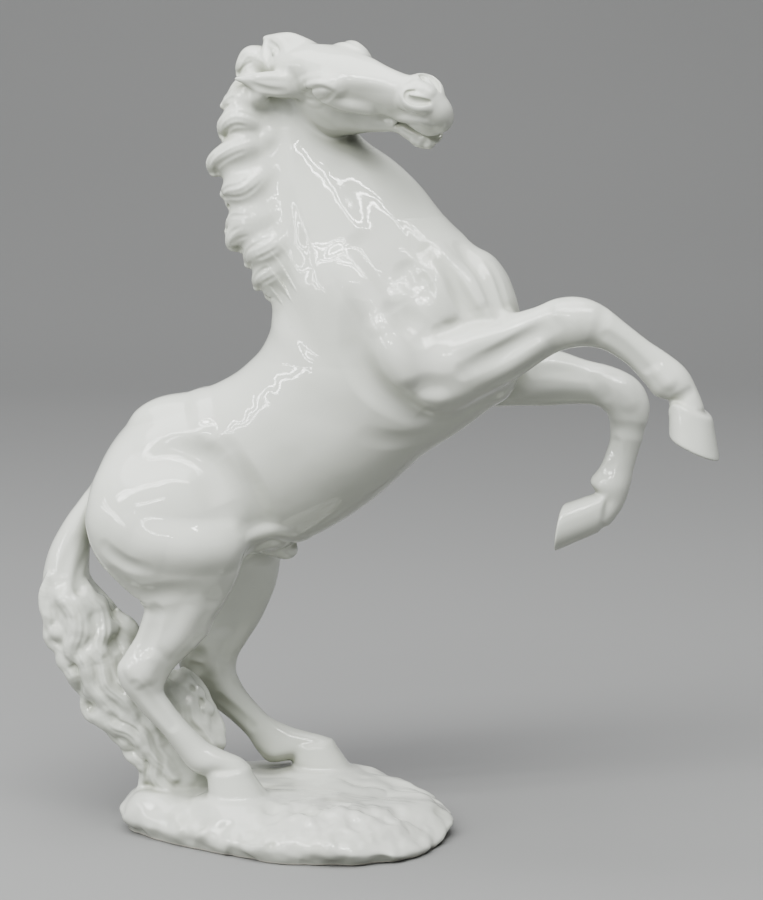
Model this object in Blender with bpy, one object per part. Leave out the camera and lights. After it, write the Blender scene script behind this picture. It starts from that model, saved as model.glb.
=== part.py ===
"""Rearing horse figurine of glazed porcelain, as the sections that are cast
apart and luted together before firing: a rock base, a hollow torso, a hollow
neck and head, ears, mane, four solid legs and a tail.

Metres, +Z up, +X the way the horse faces across the drawing, +Y away from the
side that is drawn. The origin is the middle of the flat underside of the base.
"""

import math

import bmesh
import bpy
import numpy as np
from mathutils import Matrix, Vector

# ---------------------------------------------------------------- dimensions
WALL = 0.0036  # slip-cast wall of the hollow sections
GAP = 0.0004  # slip line left between two sections
PEG_R = 0.0030  # moulded pegs that key a leg or the tail to the torso
PEG_IN = 0.0060  # how far a peg stands into its socket
VENT_R = 0.0025  # firing vents in the base and the belly

BASE_A, BASE_B = 0.0625, 0.0455  # half length and half depth of the rock
BASE_H = 0.0172  # rock height under the hind hooves
BASE_H_TOE = 0.0085  # rock height at its front end
BODY_TURN = math.radians(12.0)  # the trunk is turned this far towards the drawn side

# The sections are drawn on a sight drawing of the right-hand side: u to the
# right and v down, seen from SIGHT_D away and SIGHT_H up, tipped down by
# SIGHT_TIP, with SIGHT_F drawing units to one unit of slope.
SIGHT_D, SIGHT_H, SIGHT_X = 1.050, 0.330, 0.036
SIGHT_TIP, SIGHT_F = math.radians(9.93), 2874.0
SIGHT_U, SIGHT_V = 381.5, 450.0


def at(u, v, y):
    """The point y metres behind the middle plane that the drawing shows at u, v."""
    du, dv = u - SIGHT_U, SIGHT_V - v
    run = SIGHT_F * math.cos(SIGHT_TIP) + dv * math.sin(SIGHT_TIP)
    rise = -SIGHT_F * math.sin(SIGHT_TIP) + dv * math.cos(SIGHT_TIP)
    t = (y + SIGHT_D) / run
    return Vector((SIGHT_X + t * du, y, SIGHT_H + t * rise))


LEFT = Vector((math.sin(BODY_TURN), math.cos(BODY_TURN), 0.0))

# ------------------------------------------------------------------ sections
# One section of a skin: two opposite points of its outline on the drawing, the
# plane that they lie in (mm behind the middle), and half its width (mm).
BARREL = [
    (97, 470, 118, 548, 14.0, 16.0),
    (116, 436, 158, 562, 11.5, 23.0),
    (150, 405, 203, 560, 8.5, 27.0),
    (182, 394, 250, 552, 5.5, 27.5),
    (207, 387, 298, 541, 2.5, 27.0),
    (236, 371, 345, 518, -1.0, 27.5),
    (258, 352, 385, 489, -4.0, 28.0),
    (275, 331, 424, 453, -7.0, 27.0),
    (288, 314, 462, 429, -9.5, 25.0),
    (330, 296, 494, 402, -12.0, 22.5),
    (400, 280, 508, 368, -14.0, 18.5),
    (455, 272, 511, 335, -15.5, 12.5),
]
NECK = [
    (300, 352, 470, 352, -9.5, 20.0),
    (288, 310, 486, 292, -10.0, 21.0),
    (280, 272, 468, 243, -10.0, 19.5),
    (270, 232, 440, 211, -9.5, 17.0),
    (261, 194, 414, 181, -8.5, 15.2),
    (254, 158, 388, 157, -7.5, 14.0),
    (250, 122, 364, 140, -6.5, 13.0),
    (252, 90, 344, 118, -6.0, 11.5),
]
BORE_TOP = (288, 72, 334, 92, -9.5, 10.0)  # the bore runs on into the head
MANE = [
    (251, 50, 266, 66, -5.5, 4.0),
    (237, 75, 260, 93, -6.0, 5.5),
    (221, 107, 257, 118, -6.5, 6.5),
    (218, 134, 258, 141, -7.0, 7.0),
    (208, 166, 261, 168, -7.5, 7.5),
    (223, 196, 268, 191, -8.5, 7.5),
    (226, 220, 277, 211, -9.0, 7.5),
    (230, 245, 285, 233, -9.5, 7.0),
    (246, 266, 289, 254, -10.0, 6.5),
    (258, 288, 288, 275, -10.0, 5.5),
    (272, 302, 283, 293, -10.0, 3.5),
]
SHOULDER = {
    "right": [
        (318, 290, 352, 266, -21.0, 8.0),
        (338, 318, 404, 284, -24.5, 11.0),
        (358, 355, 440, 318, -27.5, 12.5),
        (384, 388, 450, 345, -28.0, 11.5),
        (410, 405, 450, 372, -28.0, 9.0),
    ],
    "left": [
        (345, 290, 376, 266, -1.0, 8.0),
        (362, 316, 428, 284, 2.0, 11.0),
        (384, 350, 470, 318, 3.5, 12.5),
        (412, 380, 492, 345, 4.0, 11.5),
        (440, 398, 492, 372, 4.0, 9.0),
    ],
}
THIGH = {
    "right": [
        (100, 470, 214, 452, -6.5, 14.0),
        (86, 505, 236, 492, -8.5, 17.5),
        (88, 540, 243, 532, -10.0, 17.0),
        (108, 574, 239, 566, -11.0, 15.0),
        (141, 603, 226, 599, -11.5, 11.6),
    ],
    "left": [
        (128, 470, 244, 452, 22.5, 14.0),
        (124, 505, 268, 492, 24.0, 17.5),
        (134, 540, 280, 532, 25.0, 17.0),
        (152, 574, 277, 572, 25.5, 15.0),
        (174, 606, 267, 606, 25.5, 11.6),
    ],
}
FORELEG = {
    "right": [
        (428, 341, 420, 408, -27.5, 9.0),
        (455, 328, 450, 409, -28.5, 10.2),
        (480, 319, 484, 393, -29.5, 9.4),
        (510, 314, 516, 378, -30.5, 8.2),
        (536, 307, 545, 358, -31.5, 7.2),
        (555, 299, 564, 349, -32.0, 7.4),
        (578, 297, 578, 346.5, -32.5, 7.9),
        (600, 304, 592, 347, -33.0, 7.2),
        (622, 320, 607, 351.5, -33.5, 5.6),
        (648, 340, 628, 366, -34.0, 4.9),
        (668, 354, 646, 386, -34.5, 5.3),
        (687, 370, 655, 396, -35.0, 6.3),
        (698, 391, 671, 404, -35.3, 5.4),
        (707, 410, 669, 410, -35.6, 7.0),
        (719, 424, 667, 420, -36.0, 8.6),
        (717, 459, 671, 437, -36.5, 9.6),
    ],
    "left": [
        (474, 350, 466, 408, 5.0, 9.0),
        (520, 347, 512, 406, 4.0, 9.6),
        (556, 350, 545, 406, 3.0, 8.8),
        (585, 360, 578, 404, 2.0, 7.6),
        (612, 367, 598, 406, 1.2, 7.3),
        (638, 380, 607, 414, 0.6, 7.8),
        (650, 404, 610, 425, 0.2, 7.3),
        (645, 431, 610, 439, -0.2, 5.9),
        (639, 451, 606, 453, -0.5, 5.0),
        (634, 469, 600, 467, -0.8, 5.0),
        (630, 486, 590, 481, -1.0, 6.3),
        (625, 503, 596, 497, -1.1, 5.5),
        (611, 523, 589, 498, -1.3, 6.6),
        (590, 543, 575, 499, -1.5, 8.4),
        (557, 549, 563, 507, -1.8, 9.4),
    ],
}
HINDLEG = {
    "right": [
        (138, 597, 228, 593, -11.5, 11.0),
        (141, 617, 217, 617, -11.8, 10.6),
        (135, 636, 206, 637, -12.2, 9.4),
        (123, 655, 190, 651, -12.6, 8.2),
        (116, 667, 174, 668, -13.0, 7.7),
        (121, 684, 164, 683, -13.2, 6.6),
        (132, 699, 164, 693, -13.3, 5.4),
        (148, 718, 171, 703, -13.4, 4.9),
        (165, 735, 187, 723, -13.5, 4.9),
        (178, 752, 207, 742, -13.6, 5.4),
        (189, 767, 224, 752, -13.7, 6.3),
        (203, 775, 240, 758, -13.8, 5.7),
        (209, 780, 253, 768, -13.9, 7.8),
        (210, 795, 267, 793, -14.0, 9.6),
    ],
    "left": [
        (172, 600, 269, 598, 25.5, 11.0),
        (180, 622, 260, 622, 25.4, 10.6),
        (180, 640, 247, 641, 25.3, 9.4),
        (177, 658, 238, 657, 25.2, 8.2),
        (183, 674, 237, 672, 25.1, 7.7),
        (196, 689, 240, 680, 25.0, 6.4),
        (212, 704, 246, 691, 25.0, 5.4),
        (230, 718, 257, 705, 25.0, 4.9),
        (247, 733, 270, 717, 25.0, 4.9),
        (259, 748, 288, 726, 25.0, 5.5),
        (271, 760, 303, 731, 25.0, 6.3),
        (289, 758, 320, 735, 25.0, 5.7),
        (294, 754, 335, 739.5, 25.0, 7.8),
        (293, 767, 351, 766, 25.0, 9.6),
    ],
}
TAIL = [
    (112, 474, 112, 494, 16.0, 4.5),
    (88, 489, 99, 509, 16.5, 6.0),
    (66, 519, 88, 537, 16.0, 8.0),
    (48, 552, 86, 560, 14.5, 9.5),
    (42, 584, 92, 580, 12.5, 10.5),
    (47, 614, 108, 602, 10.5, 11.0),
    (58, 644, 128, 628, 9.0, 11.5),
    (70, 676, 152, 654, 7.5, 11.5),
    (87, 704, 183, 676, 6.5, 11.0),
    (104, 732, 210, 706, 6.0, 10.5),
    (124, 751, 223, 735, 6.0, 10.0),
    (137, 772, 221, 756, 6.0, 9.5),
    (143, 800, 215, 790, 6.0, 9.0),
]

# The head has a frame of its own: x from the eyes to the lips, y to the horse's
# left, z to the brow, in mm. It is turned and tipped towards the drawn side.
HEAD_X = Vector((0.820, -0.523, -0.229)).normalized()
HEAD_Y = Vector((0.540, 0.580, 0.610)).normalized()
HEAD_Z = HEAD_X.cross(HEAD_Y).normalized()
HEAD_AT = at(334, 66, -0.020)
# Along the head: where, brow height, jaw depth, half width.
HEAD = [
    (-26.0, -1.0, -15.0, 7.0),
    (-19.0, 4.5, -26.0, 9.8),
    (-9.0, 7.0, -32.0, 11.4),
    (0.0, 7.5, -31.5, 12.0),
    (9.0, 6.8, -27.5, 10.6),
    (18.0, 5.8, -23.0, 8.6),
    (27.0, 4.8, -18.5, 7.2),
    (35.0, 4.4, -17.0, 7.4),
    (41.0, 2.6, -17.0, 7.4),
    (45.5, -1.0, -16.0, 6.4),
    (48.5, -5.0, -11.5, 3.6),
]
# The lower jaw and lip, hung a little open under the head.
JAW = [
    (10.0, -15.0, -26.5, 6.5),
    (20.0, -17.0, -23.6, 5.2),
    (28.0, -18.2, -23.4, 4.6),
    (34.0, -19.2, -25.4, 4.8),
    (38.0, -20.4, -25.0, 3.8),
]
# Ears, laid back: points along the ear with half width and half thickness.
EARS = {
    "right": [
        (-10.0, -4.5, -4.0, 3.2, 2.8),
        (-16.0, -8.2, -2.6, 4.6, 3.2),
        (-23.0, -10.8, -3.6, 4.6, 2.5),
        (-30.0, -11.0, -6.4, 3.2, 1.7),
        (-36.5, -10.2, -8.8, 0.8, 0.7),
    ],
    "left": [
        (-10.0, 3.5, -2.0, 3.2, 2.8),
        (-16.0, 6.4, 0.8, 4.6, 3.2),
        (-22.5, 8.0, 3.0, 4.6, 2.5),
        (-29.0, 7.2, 3.0, 3.2, 1.7),
        (-34.0, 5.4, 1.6, 0.8, 0.7),
    ],
}

# ------------------------------------------------------------------- modelling
MM = 0.001


def clear_scene():
    for old in list(bpy.data.objects):
        bpy.data.objects.remove(old, do_unlink=True)


def drawn(section):
    """Centre, drawn half axis and side half axis of a section of the drawing."""
    u1, v1, u2, v2, y, w = section
    one, two = at(u1, v1, y * MM), at(u2, v2, y * MM)
    half = (one - two) / 2
    side = LEFT - half * (LEFT.dot(half) / half.length_squared)
    return (one + two) / 2, half, side.normalized() * w * MM


def head_point(x, y, z):
    return HEAD_AT + (HEAD_X * x + HEAD_Y * y + HEAD_Z * z) * MM


def headed(section):
    """The same for a section of the head, given in the head's frame."""
    x, brow, jaw, w = section
    return (
        head_point(x, 0, (brow + jaw) / 2),
        HEAD_Z * ((brow - jaw) / 2 * MM),
        HEAD_Y * (w * MM),
    )


def eared(points, index):
    """The same for an ear, square to the line through its points."""
    x, y, z, wide, thick = points[index]
    before, after = points[max(index - 1, 0)], points[min(index + 1, len(points) - 1)]
    along = (head_point(*after[:3]) - head_point(*before[:3])).normalized()
    flat = (HEAD_Z - along * HEAD_Z.dot(along)).normalized()
    return head_point(x, y, z), flat * (wide * MM), along.cross(flat) * (thick * MM)


def eased(rings, steps):
    """More sections between those given, on a Catmull-Rom curve."""
    out = []
    for i in range(len(rings) - 1):
        four = [rings[max(i - 1, 0)], rings[i], rings[i + 1], rings[min(i + 2, len(rings) - 1)]]
        for s in range(steps):
            t = s / steps
            k = (
                (-t + 2 * t**2 - t**3) / 2,
                (2 - 5 * t**2 + 3 * t**3) / 2,
                (t + 4 * t**2 - 3 * t**3) / 2,
                (-(t**2) + t**3) / 2,
            )
            out.append(
                tuple(
                    sum((four[j][part] * k[j] for j in range(4)), Vector())
                    for part in range(3)
                )
            )
    return [*out, rings[-1]]


def grown(rings, by):
    """The same skin moved out by that much all over, or in where it is negative."""
    out = []
    for centre, half, side in rings:
        out.append(
            (
                centre,
                half * max(0.15, 1 + by / half.length),
                side * max(0.15, 1 + by / side.length),
            )
        )
    first = (out[0][0] - out[1][0]).normalized() * by
    last = (out[-1][0] - out[-2][0]).normalized() * by
    out[0] = (out[0][0] + first, *out[0][1:])
    out[-1] = (out[-1][0] + last, *out[-1][1:])
    return out


def domed(rings, start, end):
    """Rounded ends: each adds two smaller sections outside the last one."""

    def dome(ring, inner, rise):
        centre, half, side = ring
        out = (centre - inner[0]).normalized()
        return [
            (centre + out * rise * 0.62, half * 0.80, side * 0.80),
            (centre + out * rise, half * 0.42, side * 0.42),
        ]

    head = list(reversed(dome(rings[0], rings[1], start))) if start else []
    tail = dome(rings[-1], rings[-2], end) if end else []
    return [*head, *rings, *tail]


def skin(name, rings, sides=16, squareness=2.0):
    """A closed skin through oval sections, with a flat face on each end."""
    bm = bmesh.new()
    loops = []
    for centre, half, side in rings:
        loop = []
        for i in range(sides):
            a = 2 * math.pi * i / sides
            c, s = math.cos(a), math.sin(a)
            c = math.copysign(abs(c) ** (2 / squareness), c)
            s = math.copysign(abs(s) ** (2 / squareness), s)
            loop.append(bm.verts.new(centre + half * c + side * s))
        loops.append(loop)
    for a, b in zip(loops, loops[1:]):
        for i in range(sides):
            j = (i + 1) % sides
            bm.faces.new((a[i], a[j], b[j], b[i]))
    bm.faces.new(loops[0])
    bm.faces.new(loops[-1])
    bmesh.ops.recalc_face_normals(bm, faces=bm.faces)
    return finish_mesh(name, bm)


def rod(name, start, end, radius, sides=12):
    """A plain round rod between two points."""
    bm = bmesh.new()
    along = end - start
    bmesh.ops.create_cone(
        bm, cap_ends=True, segments=sides, radius1=radius, radius2=radius, depth=along.length
    )
    turn = along.to_track_quat("Z", "Y").to_matrix().to_4x4()
    bm.transform(Matrix.Translation((start + end) / 2) @ turn)
    return finish_mesh(name, bm)


def finish_mesh(name, bm):
    mesh = bpy.data.meshes.new(name)
    bm.to_mesh(mesh)
    bm.free()
    obj = bpy.data.objects.new(name, mesh)
    bpy.context.scene.collection.objects.link(obj)
    return obj


def helper(obj):
    obj.hide_render = True
    obj.display_type = "WIRE"
    return obj


def boolean(obj, other, operation):
    m = obj.modifiers.new(operation.lower() + "_" + other.name, "BOOLEAN")
    m.object, m.operation, m.solver = other, operation, "EXACT"


def cut(obj, *others):
    for other in others:
        boolean(obj, other, "DIFFERENCE")


def join(obj, *others):
    for other in others:
        boolean(obj, other, "UNION")


def porcelain(name, colour, roughness):
    material = bpy.data.materials.new(name)
    material.use_nodes = True
    shader = material.node_tree.nodes["Principled BSDF"]
    shader.inputs["Base Color"].default_value = (*colour, 1.0)
    shader.inputs["Roughness"].default_value = roughness
    shader.inputs["Metallic"].default_value = 0.0
    return material


def rock_outline(a):
    """How far the rock's edge reaches at an angle, as a share of its oval."""
    return (
        1.0
        + 0.030 * math.sin(2 * a + 0.6)
        + 0.022 * math.sin(3 * a + 2.1)
        + 0.016 * math.sin(5 * a + 0.4)
        + 0.010 * math.sin(9 * a + 1.3)
    )


def rock_height(x):
    """The rock is level under the hooves and falls away towards its front end."""
    t = min(max((x - 0.015) / (BASE_A - 0.015), 0.0), 1.0)
    t = t * t * (3 - 2 * t)
    return BASE_H + (BASE_H_TOE - BASE_H) * t


def rock(name, grow=0.0, sides=36):
    """The base: a low rock with a flat underside and a domed, sloping top."""
    bm = bmesh.new()
    # share of the outline, share of the height
    rings = [(0.93, 0.0), (0.985, 0.16), (1.0, 0.42), (0.975, 0.72), (0.90, 0.93), (0.74, 1.0), (0.4, 1.02)]
    loops = []
    for reach, up in rings:
        loop = []
        for i in range(sides):
            a = 2 * math.pi * i / sides
            r = reach * (1.0 + (rock_outline(a) - 1.0) * min(1.0, reach * 1.1))
            x = (BASE_A + grow) * r * math.cos(a)
            y = (BASE_B + grow) * r * math.sin(a)
            z = rock_height(x) * up
            loop.append(bm.verts.new((x, y, z + (grow if up > 0.5 else -grow if up == 0 else 0.0))))
        loops.append(loop)
    for lower, upper in zip(loops, loops[1:]):
        for i in range(sides):
            j = (i + 1) % sides
            bm.faces.new((lower[i], lower[j], upper[j], upper[i]))
    bm.faces.new(loops[0])
    top = bm.verts.new((0.0, 0.0, BASE_H * 1.02 + grow))
    for i in range(sides):
        bm.faces.new((loops[-1][i], loops[-1][(i + 1) % sides], top))
    bmesh.ops.recalc_face_normals(bm, faces=bm.faces)
    return finish_mesh(name, bm)


def rock_hollow(name, sides=20):
    """The hollow that the slip leaves inside the base."""
    bm = bmesh.new()
    loops = []
    for reach, up in ((0.62, 0.0), (0.74, 0.35), (0.74, 0.65), (0.60, 1.0)):
        loop = []
        for i in range(sides):
            a = 2 * math.pi * i / sides
            x, y = BASE_A * reach * math.cos(a), BASE_B * reach * math.sin(a)
            low, high = WALL, rock_height(x * 1.15) - WALL
            loop.append(bm.verts.new((x, y, low + (high - low) * up)))
        loops.append(loop)
    for lower, upper in zip(loops, loops[1:]):
        for i in range(sides):
            j = (i + 1) % sides
            bm.faces.new((lower[i], lower[j], upper[j], upper[i]))
    bm.faces.new(loops[0])
    bm.faces.new(loops[-1])
    bmesh.ops.recalc_face_normals(bm, faces=bm.faces)
    return finish_mesh(name, bm)


def trunk(name, by, make):
    """Barrel, shoulders and thighs as one skin, moved out by that much."""
    barrel = domed(eased([drawn(s) for s in BARREL], 2), 0.010, 0.006)
    body = make(skin(name, grown(barrel, by), 20))
    for side in ("right", "left"):
        shoulder = domed(eased([drawn(s) for s in SHOULDER[side]], 2), 0.007, 0.006)
        thigh = domed(eased([drawn(s) for s in THIGH[side]], 2), 0.012, 0.0)
        for part, rings, sides in (("shoulder", shoulder, 14), ("thigh", thigh, 16)):
            extra = helper(skin(f"{name}_{side}_{part}", grown(rings, by), sides))
            join(body, extra)
    return body


def build():
    clear_scene()
    frame = bpy.data.objects.new("figurine", None)
    bpy.context.scene.collection.objects.link(frame)
    nodes = {}

    # Torso: one casting, hollow, with the neck's bore open at the front.
    torso = trunk("torso", 0.0, lambda o: o)
    torso_room = trunk("torso_room", GAP, helper)
    hollow = eased([drawn(s) for s in BARREL[1:11]], 1)
    torso_hollow = helper(skin("torso_hollow", grown(hollow, -WALL * 1.5), 14))
    bore_rings = grown(eased([drawn(s) for s in [*NECK, BORE_TOP]], 1), -WALL * 1.25)
    bore = helper(skin("neck_bore", bore_rings, 14))
    belly = at(262, 548, 0.006)
    vent = helper(rod("belly_vent", belly + Vector((0.012, 0, -0.016)), belly + Vector((-0.010, 0, 0.016)), VENT_R * 0.7, 10))
    join(torso_hollow, bore)
    cut(torso, torso_hollow, vent)
    nodes["torso"] = torso

    # Head with the hung jaw, and the ears fitted to it.
    head_rings = domed(eased([headed(s) for s in HEAD], 2), 0.004, 0.0012)
    jaw_rings = domed([headed(s) for s in JAW], 0.0, 0.0015)
    head = skin("head", head_rings, 16)
    join(head, helper(skin("head_jaw", jaw_rings, 12)))
    head_room = helper(skin("head_room", grown(head_rings, GAP), 16))
    join(head_room, helper(skin("head_room_jaw", grown(jaw_rings, GAP), 12)))
    skull = [(-18.0, 0.0, -18.0, 6.0), (-8.0, 3.0, -24.0, 7.5), (4.0, 3.0, -22.0, 7.5), (14.0, 1.0, -16.0, 5.0)]
    cut(head, bore, helper(skin("head_hollow", [headed(s) for s in skull], 12)))
    nodes["head"] = head
    for side, points in EARS.items():
        rings = eased([eared(points, i) for i in range(len(points))], 2)
        ear = skin(side + "_ear", rings, 12)
        cut(ear, head_room)
        nodes[side + "_ear"] = ear

    # Neck: a tube trimmed to the torso below and to the head above.
    neck_rings = eased([drawn(s) for s in NECK], 2)
    neck = skin("neck", neck_rings, 20)
    neck_room = helper(skin("neck_room", grown(neck_rings, GAP), 20))
    cut(neck, torso_room, head_room, bore)
    nodes["neck"] = neck

    # Mane: a strip of locks pressed over the crest.
    mane_rings = eased([drawn(s) for s in MANE], 3)
    swell = [1.0 + 0.09 * math.cos(2 * math.pi * i / 3.0) for i in range(len(mane_rings))]
    mane_rings = [(c, h, s * k) for (c, h, s), k in zip(mane_rings, swell)]
    mane = skin("mane", domed(mane_rings, 0.002, 0.002), 14)
    ear_rooms = []
    for side, points in EARS.items():
        rings = grown(eased([eared(points, i) for i in range(len(points))], 2), GAP)
        ear_rooms.append(helper(skin(side + "_ear_room", rings, 12)))
    cut(mane, neck_room, head_room, torso_room, *ear_rooms)
    nodes["mane"] = mane

    # Legs: solid castings, each keyed to the torso by a peg.
    leg_rooms = []
    for kind, legs in (("foreleg", FORELEG), ("hind_leg", HINDLEG)):
        for side, sections in legs.items():
            rings = [drawn(s) for s in sections]
            name = f"{side}_{kind}"
            leg = skin(name, rings, 14)
            cut(leg, torso_room)
            seat = 2 if kind == "foreleg" else 1
            inward = (rings[0][0] - rings[seat][0]).normalized()
            root = rings[seat][0]
            reach = 0.019 if kind == "foreleg" else 0.0075
            tip = root + inward * (reach + PEG_IN)
            join(leg, helper(rod(name + "_peg", root - inward * 0.002, tip, PEG_R)))
            cut(torso, helper(rod(name + "_socket", root - inward * 0.005, tip + inward * 0.001, PEG_R + GAP)))
            nodes[name] = leg
            if kind == "hind_leg":
                leg_rooms.append(helper(skin(name + "_room", grown(rings, GAP), 14)))

    # Tail: trimmed to the rump, and let into the rock at its foot.
    tail_rings = eased([drawn(s) for s in TAIL], 2)
    tail = skin("tail", tail_rings, 16)
    rock_room = helper(rock("rock_room", GAP))
    cut(tail, torso_room, rock_room, *leg_rooms)
    dock = tail_rings[4][0]
    inward = (tail_rings[0][0] - dock).normalized()
    tip = dock + inward * (0.011 + PEG_IN)
    join(tail, helper(rod("tail_peg", dock, tip, PEG_R * 0.9)))
    cut(torso, helper(rod("tail_socket", dock, tip + inward * 0.001, PEG_R * 0.9 + GAP)))
    nodes["tail"] = tail

    # Base: hollow, flat below with a firing vent, with shallow seats for hooves.
    base = rock("rock_base")
    vent_at = Vector((-0.020, 0.012, 0.0))
    base_vent = helper(rod("base_vent", vent_at - Vector((0, 0, 0.004)), vent_at + Vector((0, 0, 0.008)), VENT_R))
    cut(base, *leg_rooms, helper(rock_hollow("base_hollow")), base_vent)
    nodes["rock_base"] = base

    for name, obj in nodes.items():
        obj.parent = frame
        obj.data.materials.append(porcelain(name + "_glaze", (0.80, 0.82, 0.77), 0.12))
        obj.data.shade_smooth()
        obj.data.set_sharp_from_angle(angle=math.radians(40))


build()
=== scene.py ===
import math
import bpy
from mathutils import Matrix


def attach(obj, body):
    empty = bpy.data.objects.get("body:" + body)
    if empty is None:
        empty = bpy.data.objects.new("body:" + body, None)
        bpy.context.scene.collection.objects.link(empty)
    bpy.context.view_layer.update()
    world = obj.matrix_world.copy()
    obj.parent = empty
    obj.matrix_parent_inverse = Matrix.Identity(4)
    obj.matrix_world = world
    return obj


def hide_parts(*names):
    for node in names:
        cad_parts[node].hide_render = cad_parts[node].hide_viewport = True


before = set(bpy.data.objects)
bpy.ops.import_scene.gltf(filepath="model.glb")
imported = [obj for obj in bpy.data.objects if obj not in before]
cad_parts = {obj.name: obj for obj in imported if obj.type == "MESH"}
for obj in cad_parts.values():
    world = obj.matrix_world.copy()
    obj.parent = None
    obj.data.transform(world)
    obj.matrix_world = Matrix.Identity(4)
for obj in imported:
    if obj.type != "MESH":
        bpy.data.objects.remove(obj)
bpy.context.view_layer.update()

from concurrent.futures import ThreadPoolExecutor

import bpy
import numpy as np
from mathutils import Matrix, Vector

# =============================================================================
# The sight drawing: sections, strokes and locks are laid out on the view from
# which the horse is seen, u to the right and v down on a 763 x 900 frame, and
# carried into space (mm) at a stated depth y. The camera stands at its eye.
# =============================================================================
SIGHT_D, SIGHT_H, SIGHT_X = 1050.0, 330.0, 36.0
SIGHT_TIP, SIGHT_F = math.radians(9.93), 2874.0
SIGHT_U, SIGHT_V = 381.5, 450.0
BODY_TURN = math.radians(12.0)
LEFT = np.array((math.sin(BODY_TURN), math.cos(BODY_TURN), 0.0))
MIDDLE = np.array((-43.0, 8.0, 0.0))
EYE = np.array((SIGHT_X, -SIGHT_D, SIGHT_H))


def ray(u, v):
    """The sight line through a point of the drawing, one unit of y long."""
    du, dv = u - SIGHT_U, SIGHT_V - v
    run = SIGHT_F * math.cos(SIGHT_TIP) + dv * math.sin(SIGHT_TIP)
    rise = -SIGHT_F * math.sin(SIGHT_TIP) + dv * math.cos(SIGHT_TIP)
    return np.array((du / run, 1.0, rise / run))


def at(u, v, y):
    return EYE + ray(u, v) * (y + SIGHT_D)


def across(p):
    """The mirror image of points in the trunk's middle plane."""
    p = np.asarray(p, float)
    return p - 2.0 * ((p - MIDDLE) @ LEFT)[..., None] * LEFT


# =============================================================================
# Sculpting: solids are distance fields (mm, negative inside) joined with soft
# edges, and strokes that push the surface in or out.
# =============================================================================
def smin(a, b, k):
    if k <= 0:
        return np.minimum(a, b)
    h = np.maximum(k - np.abs(a - b), 0.0) / k
    return np.minimum(a, b) - h * h * k * 0.25


def smax(a, b, k):
    return -smin(-a, -b, k)


def smooth(t):
    t = np.clip(t, 0, 1)
    return t * t * (3 - 2 * t)


def unit(v):
    v = np.asarray(v, float)
    return v / np.linalg.norm(v)


def catmull(points, steps):
    """Rows of numbers eased on a Catmull-Rom curve, steps to each span."""
    pts = np.asarray(points, float)
    n = len(pts)
    out = []
    for i in range(n - 1):
        a, b, c, d = pts[max(i - 1, 0)], pts[i], pts[i + 1], pts[min(i + 2, n - 1)]
        for s in range(steps):
            t = s / steps
            out.append(
                0.5
                * (
                    2 * b
                    + (c - a) * t
                    + (2 * a - 5 * b + 4 * c - d) * t * t
                    + (3 * b - a - 3 * c + d) * t**3
                )
            )
    out.append(pts[-1])
    return np.array(out)


def spline(table, s):
    """Value and slope of a smooth curve through a table's rows at places s."""
    n = len(table)
    i = np.clip(np.floor(s).astype(int), 0, n - 2)
    t = (s - i)[:, None]
    p0, p1 = table[np.maximum(i - 1, 0)], table[i]
    p2, p3 = table[i + 1], table[np.minimum(i + 2, n - 1)]
    w0, w1 = (1 - t) ** 3 / 6, (3 * t**3 - 6 * t**2 + 4) / 6
    w2, w3 = (-3 * t**3 + 3 * t**2 + 3 * t + 1) / 6, t**3 / 6
    d0, d1 = -((1 - t) ** 2) / 2, (3 * t**2 - 4 * t) / 2
    d2, d3 = (-3 * t**2 + 2 * t + 1) / 2, t**2 / 2
    value = w0 * p0 + w1 * p1 + w2 * p2 + w3 * p3
    slope = d0 * p0 + d1 * p1 + d2 * p2 + d3 * p3
    return value, slope


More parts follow.
